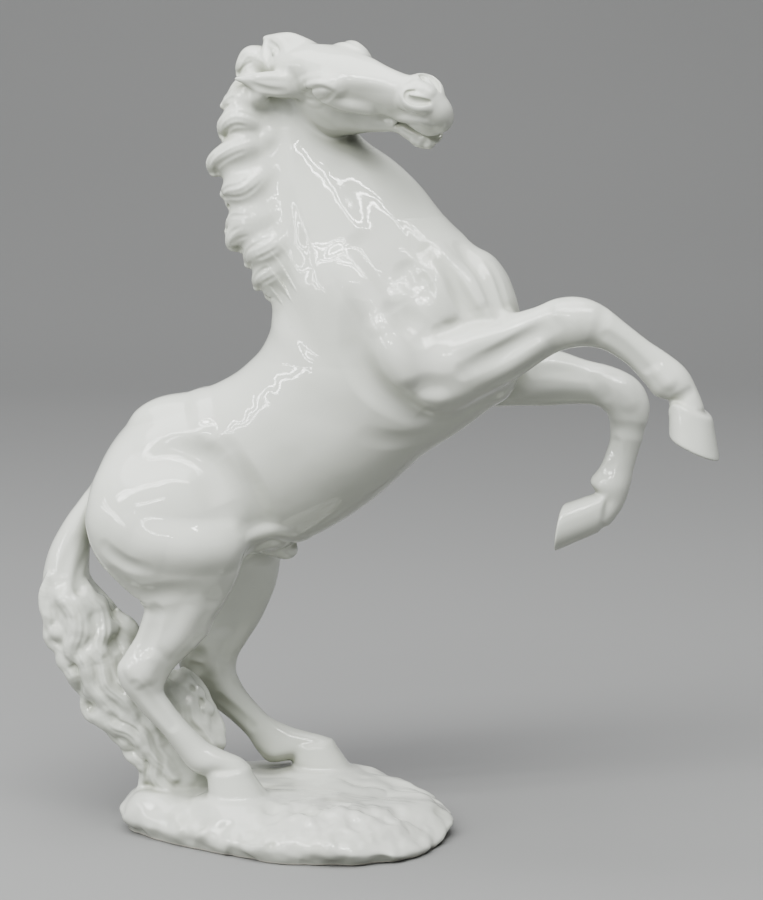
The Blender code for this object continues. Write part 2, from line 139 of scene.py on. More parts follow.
class Loft:
    """A skin over oval sections. Each row: centre, direction to the first
    outline point, side direction, the two lengths along the first and the half
    width. Every point is measured in the plane of the section it lies in."""

    def __init__(self, rows, steps=4, n=2.0, cap=1.0, care=14.0):
        self.care = care  # nearer than this the distance is worked out in full
        t = catmull(rows, steps)
        c, h, s = t[:, 0:3], t[:, 3:6], t[:, 6:9]
        h = h / np.linalg.norm(h, axis=1, keepdims=True)
        s = s - (s * h).sum(1, keepdims=True) * h
        s = s / np.linalg.norm(s, axis=1, keepdims=True)
        m = np.cross(h, s)
        run = np.gradient(c, axis=0)
        m = m * np.sign((m * run).sum(1).mean())
        self.table = np.concatenate([c, h, s, t[:, 9:12], m], axis=1)
        self.axis = np.concatenate([c, m], axis=1)
        self.girth = t[:, 9:12].max() * 1.05
        self.steps, self.n, self.cap = steps, n, cap
        lp, ln, w = t[:, 9:10], t[:, 10:11], t[:, 11:12]
        corners = np.concatenate([c + h * lp + s * w * k for k in (-0.8, 0, 0.8)] + [c - h * ln + s * w * k for k in (-0.8, 0, 0.8)] + [c + s * w, c - s * w])
        ends = [row[12:15] * min(row[9], row[10], row[11]) * cap for row in (self.table[0], self.table[-1])]
        corners = np.concatenate([corners, [c[0] - ends[0], c[-1] + ends[1]]])
        self.lo, self.hi = corners.min(0), corners.max(0)

    def place(self, p, start):
        """Where along the skin each point lies, in rows of the eased table."""
        n = len(self.axis)
        s = start.astype(float)
        for _ in range(4):
            row, run = spline(self.axis, s)
            r = p - row[:, 0:3]
            f = (r * row[:, 3:6]).sum(1)
            ahead = (run[:, 0:3] * row[:, 3:6]).sum(1)
            df = ahead - (r * run[:, 3:6]).sum(1)
            df = np.maximum(df, 0.3 * np.abs(ahead) + 1e-6)
            s = np.clip(s + np.clip(f / df, -1.2, 1.2), 0.0, n - 1.0)
        return s

    def __call__(self, p):
        c = self.axis[:, :3]
        d2 = (p * p).sum(1)[:, None] - 2.0 * p @ c.T + (c * c).sum(1)[None]
        first = d2.argmin(1)
        bound = np.sqrt(np.maximum(d2[np.arange(len(p)), first], 0.0)) - self.girth
        close = np.nonzero(bound < self.care)[0]
        out = bound
        if len(close):
            out[close] = self.exact(p[close], first[close])
        return out

    def exact(self, p, first):
        row, _ = spline(self.table, self.place(p, first))
        r = p - row[:, 0:3]
        h, sd, m = row[:, 3:6], row[:, 6:9], row[:, 12:15]
        x, y, e = (r * h).sum(1), (r * sd).sum(1), (r * m).sum(1)
        lx = np.where(x > 0, row[:, 9], row[:, 10])
        ly = row[:, 11]
        le = np.minimum(np.minimum(row[:, 9], row[:, 10]), ly) * self.cap
        a, b, c = np.abs(x) / lx, np.abs(y) / ly, np.abs(e) / le
        n = self.n
        k0 = (a**n + b**n + c**n + 1e-12) ** (1.0 / n)
        g = np.sqrt((a ** (n - 1) / lx) ** 2 + (b ** (n - 1) / ly) ** 2 + (c ** (n - 1) / le) ** 2 + 1e-12) * k0 ** (1 - n)
        return np.where(k0 < 0.35, -(1.0 - k0) * np.minimum(lx, ly), (k0 - 1.0) / g)


def drawn(section):
    """A section of the drawing: two outline points, depth, half width and,
    where it isn't halfway, how far its widest place is from the first point."""
    u1, v1, u2, v2, y, w = section[:6]
    m = section[6] if len(section) > 6 else 0.5
    y1, y2 = y if isinstance(y, tuple) else (y, y)
    one, two = at(u1, v1, y1), at(u2, v2, y2)
    c = one + (two - one) * m
    h = unit(one - two)
    s = LEFT - h * (LEFT @ h)
    return np.concatenate([c, h, unit(s), [np.linalg.norm(one - c), np.linalg.norm(two - c), w]])


class Blob:
    """An ellipsoid: centre, three half lengths, and its axes as rows."""

    def __init__(self, centre, radii, axes=np.eye(3)):
        self.c, self.r = np.asarray(centre, float), np.asarray(radii, float)
        self.a = np.array([unit(v) for v in axes])
        reach = np.sqrt(((self.a * self.r[:, None]) ** 2).sum(0))
        self.lo, self.hi = self.c - reach, self.c + reach

    def __call__(self, p):
        q = ((p - self.c) @ self.a.T) / self.r
        k0 = np.sqrt((q * q).sum(1) + 1e-9)
        k1 = np.sqrt(((q / self.r) ** 2).sum(1) + 1e-12)
        return np.where(k0 < 0.3, -(1 - k0) * self.r.min(), k0 * (k0 - 1.0) / k1)


def blob_drawn(u1, v1, u2, v2, across_px, y, depth):
    """An ellipsoid whose long axis is drawn from one point to another."""
    one, two = at(u1, v1, y), at(u2, v2, y)
    x = unit(one - two)
    side = unit(LEFT - x * (LEFT @ x))
    px = np.linalg.norm(at(u1 + 1, v1, y) - at(u1, v1, y))
    return Blob((one + two) / 2, (np.linalg.norm(one - two) / 2, across_px * px, depth), (x, np.cross(side, x), side))


class Strand:
    """A round, tapering strand along points with radii."""

    def __init__(self, points, radii, steps=5):
        pts = np.column_stack([np.asarray(points, float), np.asarray(radii, float)])
        self.t = catmull(pts, steps) if steps > 1 else pts
        c, r = self.t[:, :3], np.maximum(self.t[:, 3:4], 0.02)
        self.lo, self.hi = (c - r).min(0), (c + r).max(0)

    def __call__(self, p):
        best = np.full(len(p), 30.0)
        for a, b in zip(self.t[:-1], self.t[1:]):
            ab = b[:3] - a[:3]
            t = np.clip(((p - a[:3]) @ ab) / (ab @ ab + 1e-9), 0, 1)
            d = np.linalg.norm(p - a[:3] - t[:, None] * ab, axis=1) - (a[3] + t * (b[3] - a[3]))
            best = np.minimum(best, d)
        return best


class Hoof:
    """A hoof: an oval cone from the coronet to a flat sole."""

    def __init__(self, top, sole, depth=1.0):
        self.top, self.sole = drawn(top), drawn(sole)
        c0, c1 = self.top[:3], self.sole[:3]
        h1, s1 = self.sole[3:6], self.sole[6:9]
        s1 = unit(s1 - h1 * (s1 @ h1))
        self.n = unit(np.cross(h1, s1))
        if self.n @ (c1 - c0) < 0:
            self.n = -self.n
        self.h, self.s = h1, s1
        r = max(self.sole[9], self.sole[11]) + 2.0
        self.lo = np.minimum(c0, c1) - r
        self.hi = np.maximum(c0, c1) + r

    def __call__(self, p):
        c0, c1 = self.top[:3], self.sole[:3]
        run = (c1 - c0) @ self.n
        along = (p - c0) @ self.n
        t = np.clip(along / run, -0.6, 1.2)[:, None]
        r = p - (c0 + t * (c1 - c0))
        tt = np.clip(t[:, 0], -0.25, 1.1)
        x, y = r @ self.h, r @ self.s
        lx = np.where(x > 0, self.top[9] + tt * (self.sole[9] - self.top[9]), self.top[10] + tt * (self.sole[10] - self.top[10]))
        ly = self.top[11] + tt * (self.sole[11] - self.top[11])
        a, b = np.abs(x) / lx, np.abs(y) / ly
        n = 2.3
        k0 = (a**n + b**n + 1e-12) ** (1 / n)
        g = np.sqrt((a ** (n - 1) / lx) ** 2 + (b ** (n - 1) / ly) ** 2 + 1e-12) * k0 ** (1 - n)
        side = np.where(k0 < 0.3, -(1 - k0) * np.minimum(lx, ly), (k0 - 1) / g)
        d = smax(side, along - run, 0.9)
        return smax(d, -along - run * 0.25, 1.5)


class Sculpt:
    """Solids and strokes in the order in which they are worked."""

    FAR = 40.0

    def __init__(self, mirror=across):
        self.ops, self.image = [], mirror

    def _box(self, shape, grow, mirror):
        lo, hi = shape.lo, shape.hi
        if mirror:
            corners = np.array([[x, y, z] for x in (lo[0], hi[0]) for y in (lo[1], hi[1]) for z in (lo[2], hi[2])])
            corners = self.image(corners)
            lo, hi = corners.min(0), corners.max(0)
        return lo - grow, hi + grow

    def add(self, shape, k=4.0, mirror=False, both=False, off=0.0):
        for m in (False, True) if both else (mirror,):
            lo, hi = self._box(shape, k + 4.0, m)
            self.ops.append(("add", shape, k, m, lo, hi, off))
        return self

    def cut(self, shape, k=1.0, both=False):
        for m in (False, True) if both else (False,):
            lo, hi = self._box(shape, k + 1.0, m)
            self.ops.append(("cut", shape, k, m, lo, hi, 0.0))
        return self

    def stroke(self, points, push, reach, both=False, mirror=False):
        """Push the surface along a line of points (out where push is positive)."""
        pts = np.asarray(points, float)
        n = len(pts)
        push = np.broadcast_to(np.asarray(push, float), (n,))
        reach = np.broadcast_to(np.asarray(reach, float), (n,))
        line = Line(np.column_stack([pts, push, reach]))
        for m in (False, True) if both else (mirror,):
            lo, hi = self._box(line, 0.1, m)
            self.ops.append(("stroke", line, 0.0, m, lo, hi, 0.0))
        return self

    def __call__(self, p):
        d = np.full(len(p), self.FAR)
        for kind, shape, k, mirror, lo, hi, off in self.ops:
            near = np.nonzero(((p > lo) & (p < hi)).all(1))[0]
            if not len(near):
                continue
            q = p[near]
            if mirror:
                q = self.image(q)
            if kind == "stroke":
                live = d[near] < 8.0
                if live.any():
                    d[near[live]] -= shape.push(q[live])
                continue
            v = shape(q) + off
            if kind == "add":
                d[near] = smin(d[near], v, k)
            else:
                d[near] = smax(d[near], -v, k)
        return d

    def texture(self, shape, lo, hi):
        """A push given by a function of the points, inside a box."""
        self.ops.append(("stroke", shape, 0.0, False, np.asarray(lo, float), np.asarray(hi, float), 0.0))
        return self

    def box(self):
        adds = [o for o in self.ops if o[0] == "add"]
        lo = np.min([o[4] + o[2] + 2.5 for o in adds], axis=0)
        hi = np.max([o[5] - o[2] - 2.5 for o in adds], axis=0)
        return lo, hi

    @property
    def lo(self):
        return self.box()[0]

    @property
    def hi(self):
        return self.box()[1]


class Line:
    """A stroke's path: points with how far and how widely they push."""

    def __init__(self, table):
        self.t = catmull(table, 5) if len(table) > 1 else table
        r = np.abs(self.t[:, 4:5])
        self.lo, self.hi = (self.t[:, :3] - r).min(0), (self.t[:, :3] + r).max(0)

    def push(self, p):
        if len(self.t) == 1:
            x = np.linalg.norm(p - self.t[0, :3], axis=1) / self.t[0, 4]
            return self.t[0, 3] * np.maximum(1 - x * x, 0.0) ** 2
        best = np.full(len(p), 9.0)
        amount = np.zeros(len(p))
        for a, b in zip(self.t[:-1], self.t[1:]):
            ab = b[:3] - a[:3]
            t = np.clip(((p - a[:3]) @ ab) / (ab @ ab + 1e-9), 0, 1)
            x = np.linalg.norm(p - a[:3] - t[:, None] * ab, axis=1) / (a[4] + t * (b[4] - a[4]))
            nearer = x < best
            best = np.where(nearer, x, best)
            amount = np.where(nearer, a[3] + t * (b[3] - a[3]), amount)
        return amount * np.maximum(1 - best * best, 0.0) ** 2


def trace(field, uv, start=-75.0, stop=60.0):
    """Where the sight lines through points of the drawing meet a solid."""
    uv = np.asarray(uv, float)
    dirs = np.array([ray(u, v) for u, v in uv])
    y = np.full(len(uv), start)
    for _ in range(90):
        p = EYE + dirs * (y + SIGHT_D)[:, None]
        y = np.minimum(y + np.clip(field(p), -3.0, 8.0) * 0.8, stop)
    return EYE + dirs * (y + SIGHT_D)[:, None]


def seat(field, p, depth, turns=6, e=0.2):
    """Points brought to a given depth under a solid's surface."""
    k = np.array([[1, -1, -1], [-1, -1, 1], [-1, 1, -1], [1, 1, 1]], float)
    for _ in range(turns):
        g = sum(field(p + e * t)[:, None] * t for t in k) / (4 * e)
        g = g / np.maximum(np.linalg.norm(g, axis=1, keepdims=True), 1e-6)
        p = p - (field(p) + depth)[:, None] * g * 0.8
    return p


def many(field, p, size=30000):
    """A field at many points, on all cores."""
    if len(p) <= size:
        return field(p)
    parts = [p[a : a + size] for a in range(0, len(p), size)]
    with ThreadPoolExecutor(4) as pool:
        return np.concatenate(list(pool.map(field, parts)))


def skin_of(field, h, lo, hi, relax=3):
    """A quad mesh on a field's surface, its points set exactly on it, with the
    field's own slope as the normal at each point."""
    m = 5
    big = h * m
    lo, hi = np.asarray(lo, float) - big * 1.5, np.asarray(hi, float) + big * 1.5
    nb = np.ceil((hi - lo) / big).astype(int)
    ax = [lo[i] + (np.arange(nb[i]) + 0.5) * big for i in range(3)]
    grid = np.stack(np.meshgrid(*ax, indexing="ij"), -1).reshape(-1, 3)
    coarse = many(field, grid).astype(np.float32)
    level = coarse.reshape(nb)
    edge = np.abs(level) < big * 0.87 * 1.5 + 1.8
    for axis in range(3):
        one, two = [slice(None)] * 3, [slice(None)] * 3
        one[axis], two[axis] = slice(0, nb[axis] - 1), slice(1, nb[axis])
        turn = (level[tuple(one)] < 0) != (level[tuple(two)] < 0)
        edge[tuple(one)] |= turn
        edge[tuple(two)] |= turn
    live = np.nonzero(edge.reshape(-1))[0]
    dense = np.repeat(np.repeat(np.repeat(coarse.reshape(nb), m, 0), m, 1), m, 2)
    offs = (np.stack(np.meshgrid(*[np.arange(m)] * 3, indexing="ij"), -1).reshape(-1, 3))
    base = np.stack(np.unravel_index(live, nb), -1) * m
    for a in range(0, len(live), 4000):
        cell = (base[a : a + 4000, None, :] + offs[None]).reshape(-1, 3)
        p = lo + (cell + 0.5) * h
        dense[cell[:, 0], cell[:, 1], cell[:, 2]] = many(field, p)
    inside = dense < 0
    n = inside.shape
    count = np.zeros((n[0] - 1, n[1] - 1, n[2] - 1), np.int8)
    corner = [(i, j, k) for i in (0, 1) for j in (0, 1) for k in (0, 1)]
    for i, j, k in corner:
        count += inside[i : n[0] - 1 + i, j : n[1] - 1 + j, k : n[2] - 1 + k]
    cells = np.stack(np.nonzero((count > 0) & (count < 8)), -1)
    vals = np.stack([dense[cells[:, 0] + i, cells[:, 1] + j, cells[:, 2] + k] for i, j, k in corner], -1).astype(float)
    total, hits = np.zeros((len(cells), 3)), np.zeros(len(cells))
    for a in range(8):
        for b in range(a + 1, 8):
            ca, cb = np.array(corner[a]), np.array(corner[b])
            if np.abs(ca - cb).sum() != 1:
                continue
            va, vb = vals[:, a], vals[:, b]
            x = (va < 0) != (vb < 0)
            t = np.where(x, va / np.where(x, va - vb, 1.0), 0.0)
            total += np.where(x[:, None], ca + t[:, None] * (cb - ca), 0.0)
            hits += x
    verts = lo + (cells + total / hits[:, None] + 0.5) * h
    index = np.full(count.shape, -1, np.int32)
    index[cells[:, 0], cells[:, 1], cells[:, 2]] = np.arange(len(cells))
    quads = []
    for axis in range(3):
        a = [slice(None)] * 3
        b = [slice(None)] * 3
        a[axis], b[axis] = slice(0, n[axis] - 1), slice(1, n[axis])
        one, two = inside[tuple(a)], inside[tuple(b)]
        e = np.stack(np.nonzero(one != two), -1)
        flip = one[e[:, 0], e[:, 1], e[:, 2]]
        u, w = (axis + 1) % 3, (axis + 2) % 3
        ok = (e[:, u] > 0) & (e[:, w] > 0) & (e[:, u] < n[u] - 1) & (e[:, w] < n[w] - 1)
        e, flip = e[ok], flip[ok]
        du, dw = np.eye(3, dtype=int)[u], np.eye(3, dtype=int)[w]
        q = np.stack([index[tuple((e - du - dw).T)], index[tuple((e - dw).T)], index[tuple(e.T)], index[tuple((e - du).T)]], -1)
        q[~flip] = q[~flip][:, ::-1]
        quads.append(q)
    quads = np.concatenate(quads)
    quads = quads[(quads >= 0).all(1)]
    edges = np.concatenate([quads[:, [0, 1]], quads[:, [1, 2]], quads[:, [2, 3]], quads[:, [3, 0]]])
    edges = np.concatenate([edges, edges[:, ::-1]])
    deg = np.bincount(edges[:, 0], minlength=len(verts)).astype(float)
    deg[deg == 0] = 1
    grid = Grid(dense, lo + 0.5 * h, h)
    for _ in range(relax):
        mean = np.stack([np.bincount(edges[:, 0], verts[edges[:, 1], i], len(verts)) for i in range(3)], -1) / deg[:, None]
        verts = grid.settle(verts + 0.5 * (mean - verts))
    return grid.settle(verts), quads, grid


class Grid:
    """A field kept on a lattice and read between its points by a smooth curve."""

    def __init__(self, values, lo, h):
        self.f, self.lo, self.h = values.reshape(-1), lo, h
        self.n = values.shape

    def read(self, p):
        out = [self._read(p[a : a + 40000]) for a in range(0, len(p), 40000)]
        return np.concatenate([o[0] for o in out]), np.concatenate([o[1] for o in out])

    def _read(self, p):
        q = (p - self.lo) / self.h
        i = np.clip(np.floor(q).astype(np.int64), 1, np.array(self.n) - 3)
        t = q - i
        w = [(1 - t) ** 3 / 6, (3 * t**3 - 6 * t**2 + 4) / 6, (-3 * t**3 + 3 * t**2 + 3 * t + 1) / 6, t**3 / 6]
        d = [-((1 - t) ** 2) / 2, (3 * t**2 - 4 * t) / 2, (-3 * t**2 + 2 * t + 1) / 2, t**2 / 2]
        value, grad = np.zeros(len(p)), np.zeros((len(p), 3))
        for a in range(4):
            for b in range(4):
                at_ab = ((i[:, 0] + a - 1) * self.n[1] + i[:, 1] + b - 1) * self.n[2] + i[:, 2] - 1
                f = [self.f[at_ab + c] for c in range(4)]
                z = sum(f[c] * w[c][:, 2] for c in range(4))
                dz = sum(f[c] * d[c][:, 2] for c in range(4))
                value += w[a][:, 0] * w[b][:, 1] * z
                grad[:, 0] += d[a][:, 0] * w[b][:, 1] * z
                grad[:, 1] += w[a][:, 0] * d[b][:, 1] * z
                grad[:, 2] += w[a][:, 0] * w[b][:, 1] * dz
        return value, grad / self.h

    def slope(self, p):
        value, grad = self.read(p)
        size = np.linalg.norm(grad, axis=1, keepdims=True)
        return value / np.maximum(size[:, 0], 0.3), grad / np.maximum(size, 1e-9)

    def settle(self, p):
        d, g = self.slope(p)
        return p - np.clip(d, -self.h, self.h)[:, None] * g


# =============================================================================
# Sections of the horse (drawing u, v of two outline points, depth, half width)
# =============================================================================
BARREL = [
    (99, 474, 116, 545, 14.0, 15.0),
    (114, 440, 155, 562, 11.5, 22.5),
    (148, 406, 203, 561, 8.5, 26.5),
    (180, 395, 250, 553, 5.5, 25.0),
    (206, 388, 298, 542, 2.5, 24.4),
    (234, 374, 345, 518, -1.0, 26.4),
    (256, 355, 385, 489, -4.0, 28.0),
    (272, 336, 424, 453, -7.0, 27.0),
    (286, 320, 462, 429, -9.5, 25.0),
    (326, 300, 492, 404, -12.0, 22.5),
    (396, 282, 505, 370, -14.0, 18.5),
    (448, 276, 508, 338, -15.5, 12.0),
]
NECK = [
    (300, 360, 470, 362, -9.5, 20.0),
    (285, 318, 494, 300, -10.0, 21.5),
    (279, 280, 476, 250, -10.0, 19.6),
    (270, 238, 446, 218, (-10.0, -8.0), 16.6),
    (262, 198, 419, 184, (-8.5, -3.0), 13.6),
    (254, 160, 392, 159, (-6.5, 2.0), 11.4),
    (250, 122, 366, 141, (-4.5, 6.5), 9.6),
    (256, 88, 346, 118, (-4.0, 8.0), 8.4),
]
HIND = {
    "right": [
        (136, 424, 186, 410, 4.0, 7.0),
        (112, 448, 200, 428, -1.0, 11.0),
        (96, 474, 214, 452, -5.6, 14.6),
        (88, 500, 230, 480, -8.8, 17.0),
        (86, 526, 241, 512, -10.4, 18.0),
        (97, 558, 244, 545, -11.0, 17.2),
        (122, 585, 239, 574, -11.2, 14.4),
        (143, 605, 227, 598, -11.5, 12.0),
        (142, 618, 215, 618, -11.8, 10.8),
        (136, 636, 206, 638, -12.2, 9.4),
        (124, 655, 191, 652, -12.6, 8.0),
        (117, 668, 175, 667, -13.0, 7.4),
        (121, 685, 166, 682, -13.2, 6.4),
        (132, 700, 164, 692, -13.3, 5.5),
        (148, 718, 171, 703, -13.4, 4.9),
        (165, 736, 187, 723, -13.5, 4.9),
        (178, 754, 207, 742, -13.6, 5.4),
        (191, 770, 224, 751, -13.7, 6.3),
        (206, 776, 241, 758, -13.8, 5.6),
        (216, 782, 250, 766, -13.9, 6.2),
    ],
    "left": [
        (150, 424, 205, 410, 13.0, 7.0),
        (140, 448, 226, 428, 17.5, 11.0),
        (128, 474, 246, 452, 21.6, 14.6),
        (124, 500, 264, 480, 23.6, 17.0),
        (126, 526, 276, 512, 24.5, 17.5),
        (138, 558, 281, 548, 25.2, 16.0),
        (156, 586, 277, 580, 25.5, 13.6),
        (172, 606, 268, 604, 25.5, 11.8),
        (180, 622, 259, 622, 25.4, 10.6),
        (181, 640, 247, 641, 25.3, 9.2),
        (178, 658, 238, 656, 25.2, 8.0),
        (183, 675, 236, 670, 25.1, 7.4),
        (196, 690, 239, 679, 25.0, 6.2),
        (212, 705, 246, 691, 25.0, 5.3),
        (230, 719, 257, 704, 25.0, 4.9),
        (247, 735, 270, 717, 25.0, 4.9),
        (258, 751, 288, 726, 25.0, 5.5),
        (270, 762, 304, 731, 25.0, 6.3),
        (290, 760, 320, 735, 25.0, 5.6),
        (302, 762, 332, 739, 25.0, 6.2),
    ],
}
FORE = {
    "right": [
        (425, 338, 416, 402, -28.5, 9.4),
        (452, 329, 446, 411, -29.8, 10.4),
        (480, 319.5, 484, 394, -30.6, 9.6),
        (510, 314.5, 516, 379, -31.2, 8.2),
        (536, 307, 545, 359, -31.8, 7.2),
        (555, 299, 562, 350, -32.0, 7.4),
        (578, 297, 578, 347, -32.5, 7.9),
        (600, 304, 592, 347, -33.0, 7.2),
        (622, 320.5, 607, 351, -33.5, 5.7),
        (648, 341, 628, 365, -34.0, 5.0),
        (668, 354, 646, 385, -34.5, 5.4),
        (687, 370, 655, 396, -35.0, 6.3),
        (698, 391, 671, 403, -35.3, 5.3),
        (704, 406, 670, 411, -35.6, 6.4),
    ],
    "left": [
        (474, 350, 466, 408, 5.0, 9.0),
        (520, 346, 512, 406, 4.0, 9.8),
        (556, 350, 545, 406, 3.0, 8.8),
        (585, 360, 578, 404, 2.0, 7.6),
        (613, 367, 598, 406, 1.2, 7.3),
        (639, 381, 607, 414, 0.6, 7.8),
        (650, 405, 610, 425, 0.2, 7.2),
        (645, 431, 610, 439, -0.2, 5.9),
        (639, 451, 606, 453, -0.5, 5.0),
        (634, 469, 600, 467, -0.8, 5.0),
        (630, 487, 590, 481, -1.0, 6.3),
        (624, 504, 597, 495, -1.1, 5.5),
        (610, 524, 590, 500, -1.3, 6.2),
    ],
}
HOOF = {
    "right_fore": ((716, 419, 667.5, 410, -35.8, 8.4), (720, 460, 669, 437, -36.5, 10.0)),
    "left_fore": ((609, 531, 583, 496, -1.4, 7.8), (555, 551, 563, 504, -1.8, 9.6)),
    "right_hind": ((208, 780, 252, 768, -13.9, 7.6), (209, 796, 267, 794, -14.0, 9.8)),
    "left_hind": ((293, 754, 336, 740, 25.0, 7.6), (293, 769, 352, 768, 25.0, 9.8)),
}
SEAM = {"right_hind": 7.2, "left_hind": 7.2, "right_fore": 3.4, "left_fore": 1.4}


def sections(rows, widest=0.5):
    return [drawn((*r[:6], widest)) for r in rows]


def noise3(p, seed=0):
    """Smooth noise between -1 and 1 on a unit lattice."""
    i = np.floor(p).astype(np.int64)
    f = p - i
    w = f * f * f * (f * (f * 6 - 15) + 10)

    def knot(dx, dy, dz):
        n = (i[:, 0] + dx) * 374761393 + (i[:, 1] + dy) * 668265263 + (i[:, 2] + dz) * 1442695041 + seed * 97531
        n = (n ^ (n >> 13)) * 1274126177
        n = n ^ (n >> 16)
        return (n & 0xFFFFFF) / 8388607.5 - 1.0

    x0 = [[knot(0, a, b) * (1 - w[:, 0]) + knot(1, a, b) * w[:, 0] for b in (0, 1)] for a in (0, 1)]
    y0 = [x0[0][b] * (1 - w[:, 1]) + x0[1][b] * w[:, 1] for b in (0, 1)]
    return y0[0] * (1 - w[:, 2]) + y0[1] * w[:, 2]


def strokes_on(solid, table, start=-75.0, stop=60.0):
    """Lay a table of drawn strokes on a solid, as its surface is before them."""
    met = trace(solid, [uv for line, _, _, _ in table for uv in line], start, stop)
    first = 0
    for line, push, reach, both in table:
        solid.stroke(met[first : first + len(line)], push, reach, both=both)
        first += len(line)


class Wobble:
    """The unevenness of hand-finished slip under the glaze."""

    def __init__(self, amount, size, seed, top=999.0):
        self.a, self.size, self.seed, self.top = amount, size, seed, top

    def push(self, p):
        wave = noise3(p / self.size, self.seed) + 0.4 * noise3(p / (self.size * 0.45), self.seed + 5)
        return self.a * wave * smooth((p[:, 2] - 9.0) / 8.0) * smooth((self.top - p[:, 2]) / 25.0)


# ------------------------------------------------------------------ the head
HX = unit((0.820, -0.523, -0.229))
HY = np.array((0.540, 0.580, 0.610))
HY = unit(HY - HX * (HX @ HY))
HZ = np.cross(HX, HY)
HEAD_AT = at(334, 66, -20.0)


def hp(x, y, z):
    return HEAD_AT + x * HX + y * HY + z * HZ


def head_across(p):
    p = np.asarray(p, float)
    return p - 2.0 * ((p - HEAD_AT) @ HY)[..., None] * HY


def head_rows(table):
    """Sections across the head: x, brow z, jaw z, half width, widest place."""
    rows = []
    for x, zt, zb, w, m in table:
        c = hp(x, 0, zt + (zb - zt) * m)
        rows.append(np.concatenate([c, HZ, HY, [(zt - zb) * m, (zt - zb) * (1 - m), w]]))
    return rows


SKULL = [
    (-29, -4, -14, 6.0, 0.5),
    (-23, 0.5, -16, 8.0, 0.45),
    (-16, 2.8, -17, 9.0, 0.42),
    (-9, 4.0, -17, 9.4, 0.4),
    (-2, 4.8, -17, 9.6, 0.38),
    (5, 5.2, -16, 9.4, 0.38),
    (12, 5.0, -15, 8.6, 0.42),
    (19, 4.5, -14.5, 7.5, 0.45),
    (26, 4.2, -14.5, 6.8, 0.5),
    (32, 4.0, -15, 6.6, 0.5),
    (37, 3.0, -16.2, 6.8, 0.5),
    (41, 0.6, -17, 6.4, 0.5),
    (44.0, -3.4, -14.6, 4.4, 0.5),
]
MANDIBLE = [
    (-22, -8, -27, 7.4, 0.5),
    (-14, -6, -32, 9.4, 0.5),
    (-5, -6, -33, 10.0, 0.48),
    (4, -8, -29.5, 9.2, 0.48),
    (12, -11, -25.5, 7.2, 0.5),
    (19, -13, -22.8, 6.0, 0.5),
    (25, -14.5, -20.8, 5.2, 0.5),
    (29.5, -16.5, -23.2, 4.8, 0.5),
    (34, -18, -25.8, 4.6, 0.5),
    (37.5, -18.3, -25.2, 4.2, 0.5),
    (40.2, -18.4, -22.0, 3.0, 0.5),
]
skull = Sculpt(head_across)
skull.add(Loft(head_rows(SKULL), n=2.3, cap=0.9), 1)
skull.add(Loft(head_rows(MANDIBLE), n=2.4, cap=0.8), 2.5)
skull.add(Blob(hp(2.6, -8.6, -1.2), (6.8, 3.8, 4.0), (HX, HY, HZ)), 3.4, both=True)        # orbits
skull.add(Strand([hp(0, -9.4, -5.2), hp(8, -8.6, -7.4), hp(18, -6.8, -9.0)], (2.2, 2.0, 1.0)), 5, both=True)  # facial crest
skull.add(Blob(hp(36.3, -4.7, -0.6), (4.8, 3.0, 4.0), (HX, HY, HZ)), 3.4, both=True)        # nostril wings
skull.add(Blob(hp(40.4, 0, -4.2), (4.6, 5.0, 6.4), (HX, HY, HZ)), 4)                         # tip of the nose
skull.add(Blob(hp(39.0, 0, -8.6), (5.6, 5.4, 7.8), (HX, HY, HZ)), 5)                         # upper lip
GAPE = [
    (25.5, -16.2, 0.15), (28.5, -15.4, 0.6), (31.5, -15.1, 1.2), (34.5, -15.4, 1.8), (37.5, -16.4, 2.3), (41, -17.8, 2.5), (46, -19.8, 2.8),
]
gape = Loft([np.concatenate([hp(x, 0, z), HZ, HY, [h, h, 11.0]]) for x, z, h in GAPE], n=2.6, cap=0.5)
skull.cut(gape, 0.9)


def on_head(uv):
    return trace(skull, uv, -60.0, 20.0)


def sunk(points, depth):
    """Points moved along their sight lines, away from the eye."""
    points = np.asarray(points, float)
    away = points - EYE
    return points + away / np.linalg.norm(away, axis=1, keepdims=True) * depth


# brow, temple and eye socket; side of the nose, facial crest and cheek;
# nostril rims; lips and the folds above the mouth
HEAD_STROKES = [
    ([(298, 87), (308, 81), (321, 79.5), (335, 82)], (0.2, 0.8, 0.9, 0.3), 3.2, True),
    ([(288, 80), (296, 74)], -0.8, 6.0, True),
    ([(352, 91), (370, 92), (390, 93)], (-0.3, -0.6, -0.3), 6.0, True),
    ([(342, 79), (365, 81), (398, 84)], (0.1, 0.3, 0.2), 4.2, True),
    ([(332, 105), (344, 108), (356, 110), (370, 112)], (0.3, 0.7, 0.5, 0.1), 4.2, True),
    ([(342, 119), (362, 119), (384, 118)], (-0.4, -0.7, -0.4), 5.5, True),
    ([(300, 112), (310, 122), (325, 132)], 0.7, 7.5, True),
    ([(338, 138), (352, 130), (358, 119)], -0.3, 5.0, True),
    ([(403, 92), (410, 86.5), (420, 86), (430, 91)], (0.3, 0.8, 0.9, 0.4), 3.0, True),
    ([(404, 99), (409, 106), (418, 109.5), (428, 109)], (0.3, 0.8, 0.9, 0.4), 2.4, True),
    ([(393, 123), (404, 120), (418, 121), (430, 126)], (0.3, 0.6, 0.6, 0.3), 2.4, True),
    ([(392, 114), (408, 114.5), (424, 117)], (-0.3, -0.7, -0.3), 2.6, True),
    ([(404, 135), (411, 139.5)], (0.3, 0.4), 2.4, True),
    ([(415, 143), (418, 144.5)], 0.9, 2.6, True),
    ([(424, 144), (426, 142)], -0.5, 1.8, True),
    ([(430, 146), (432, 147)], 0.9, 2.4, True),
]
strokes_on(skull, HEAD_STROKES, -60.0, 20.0)
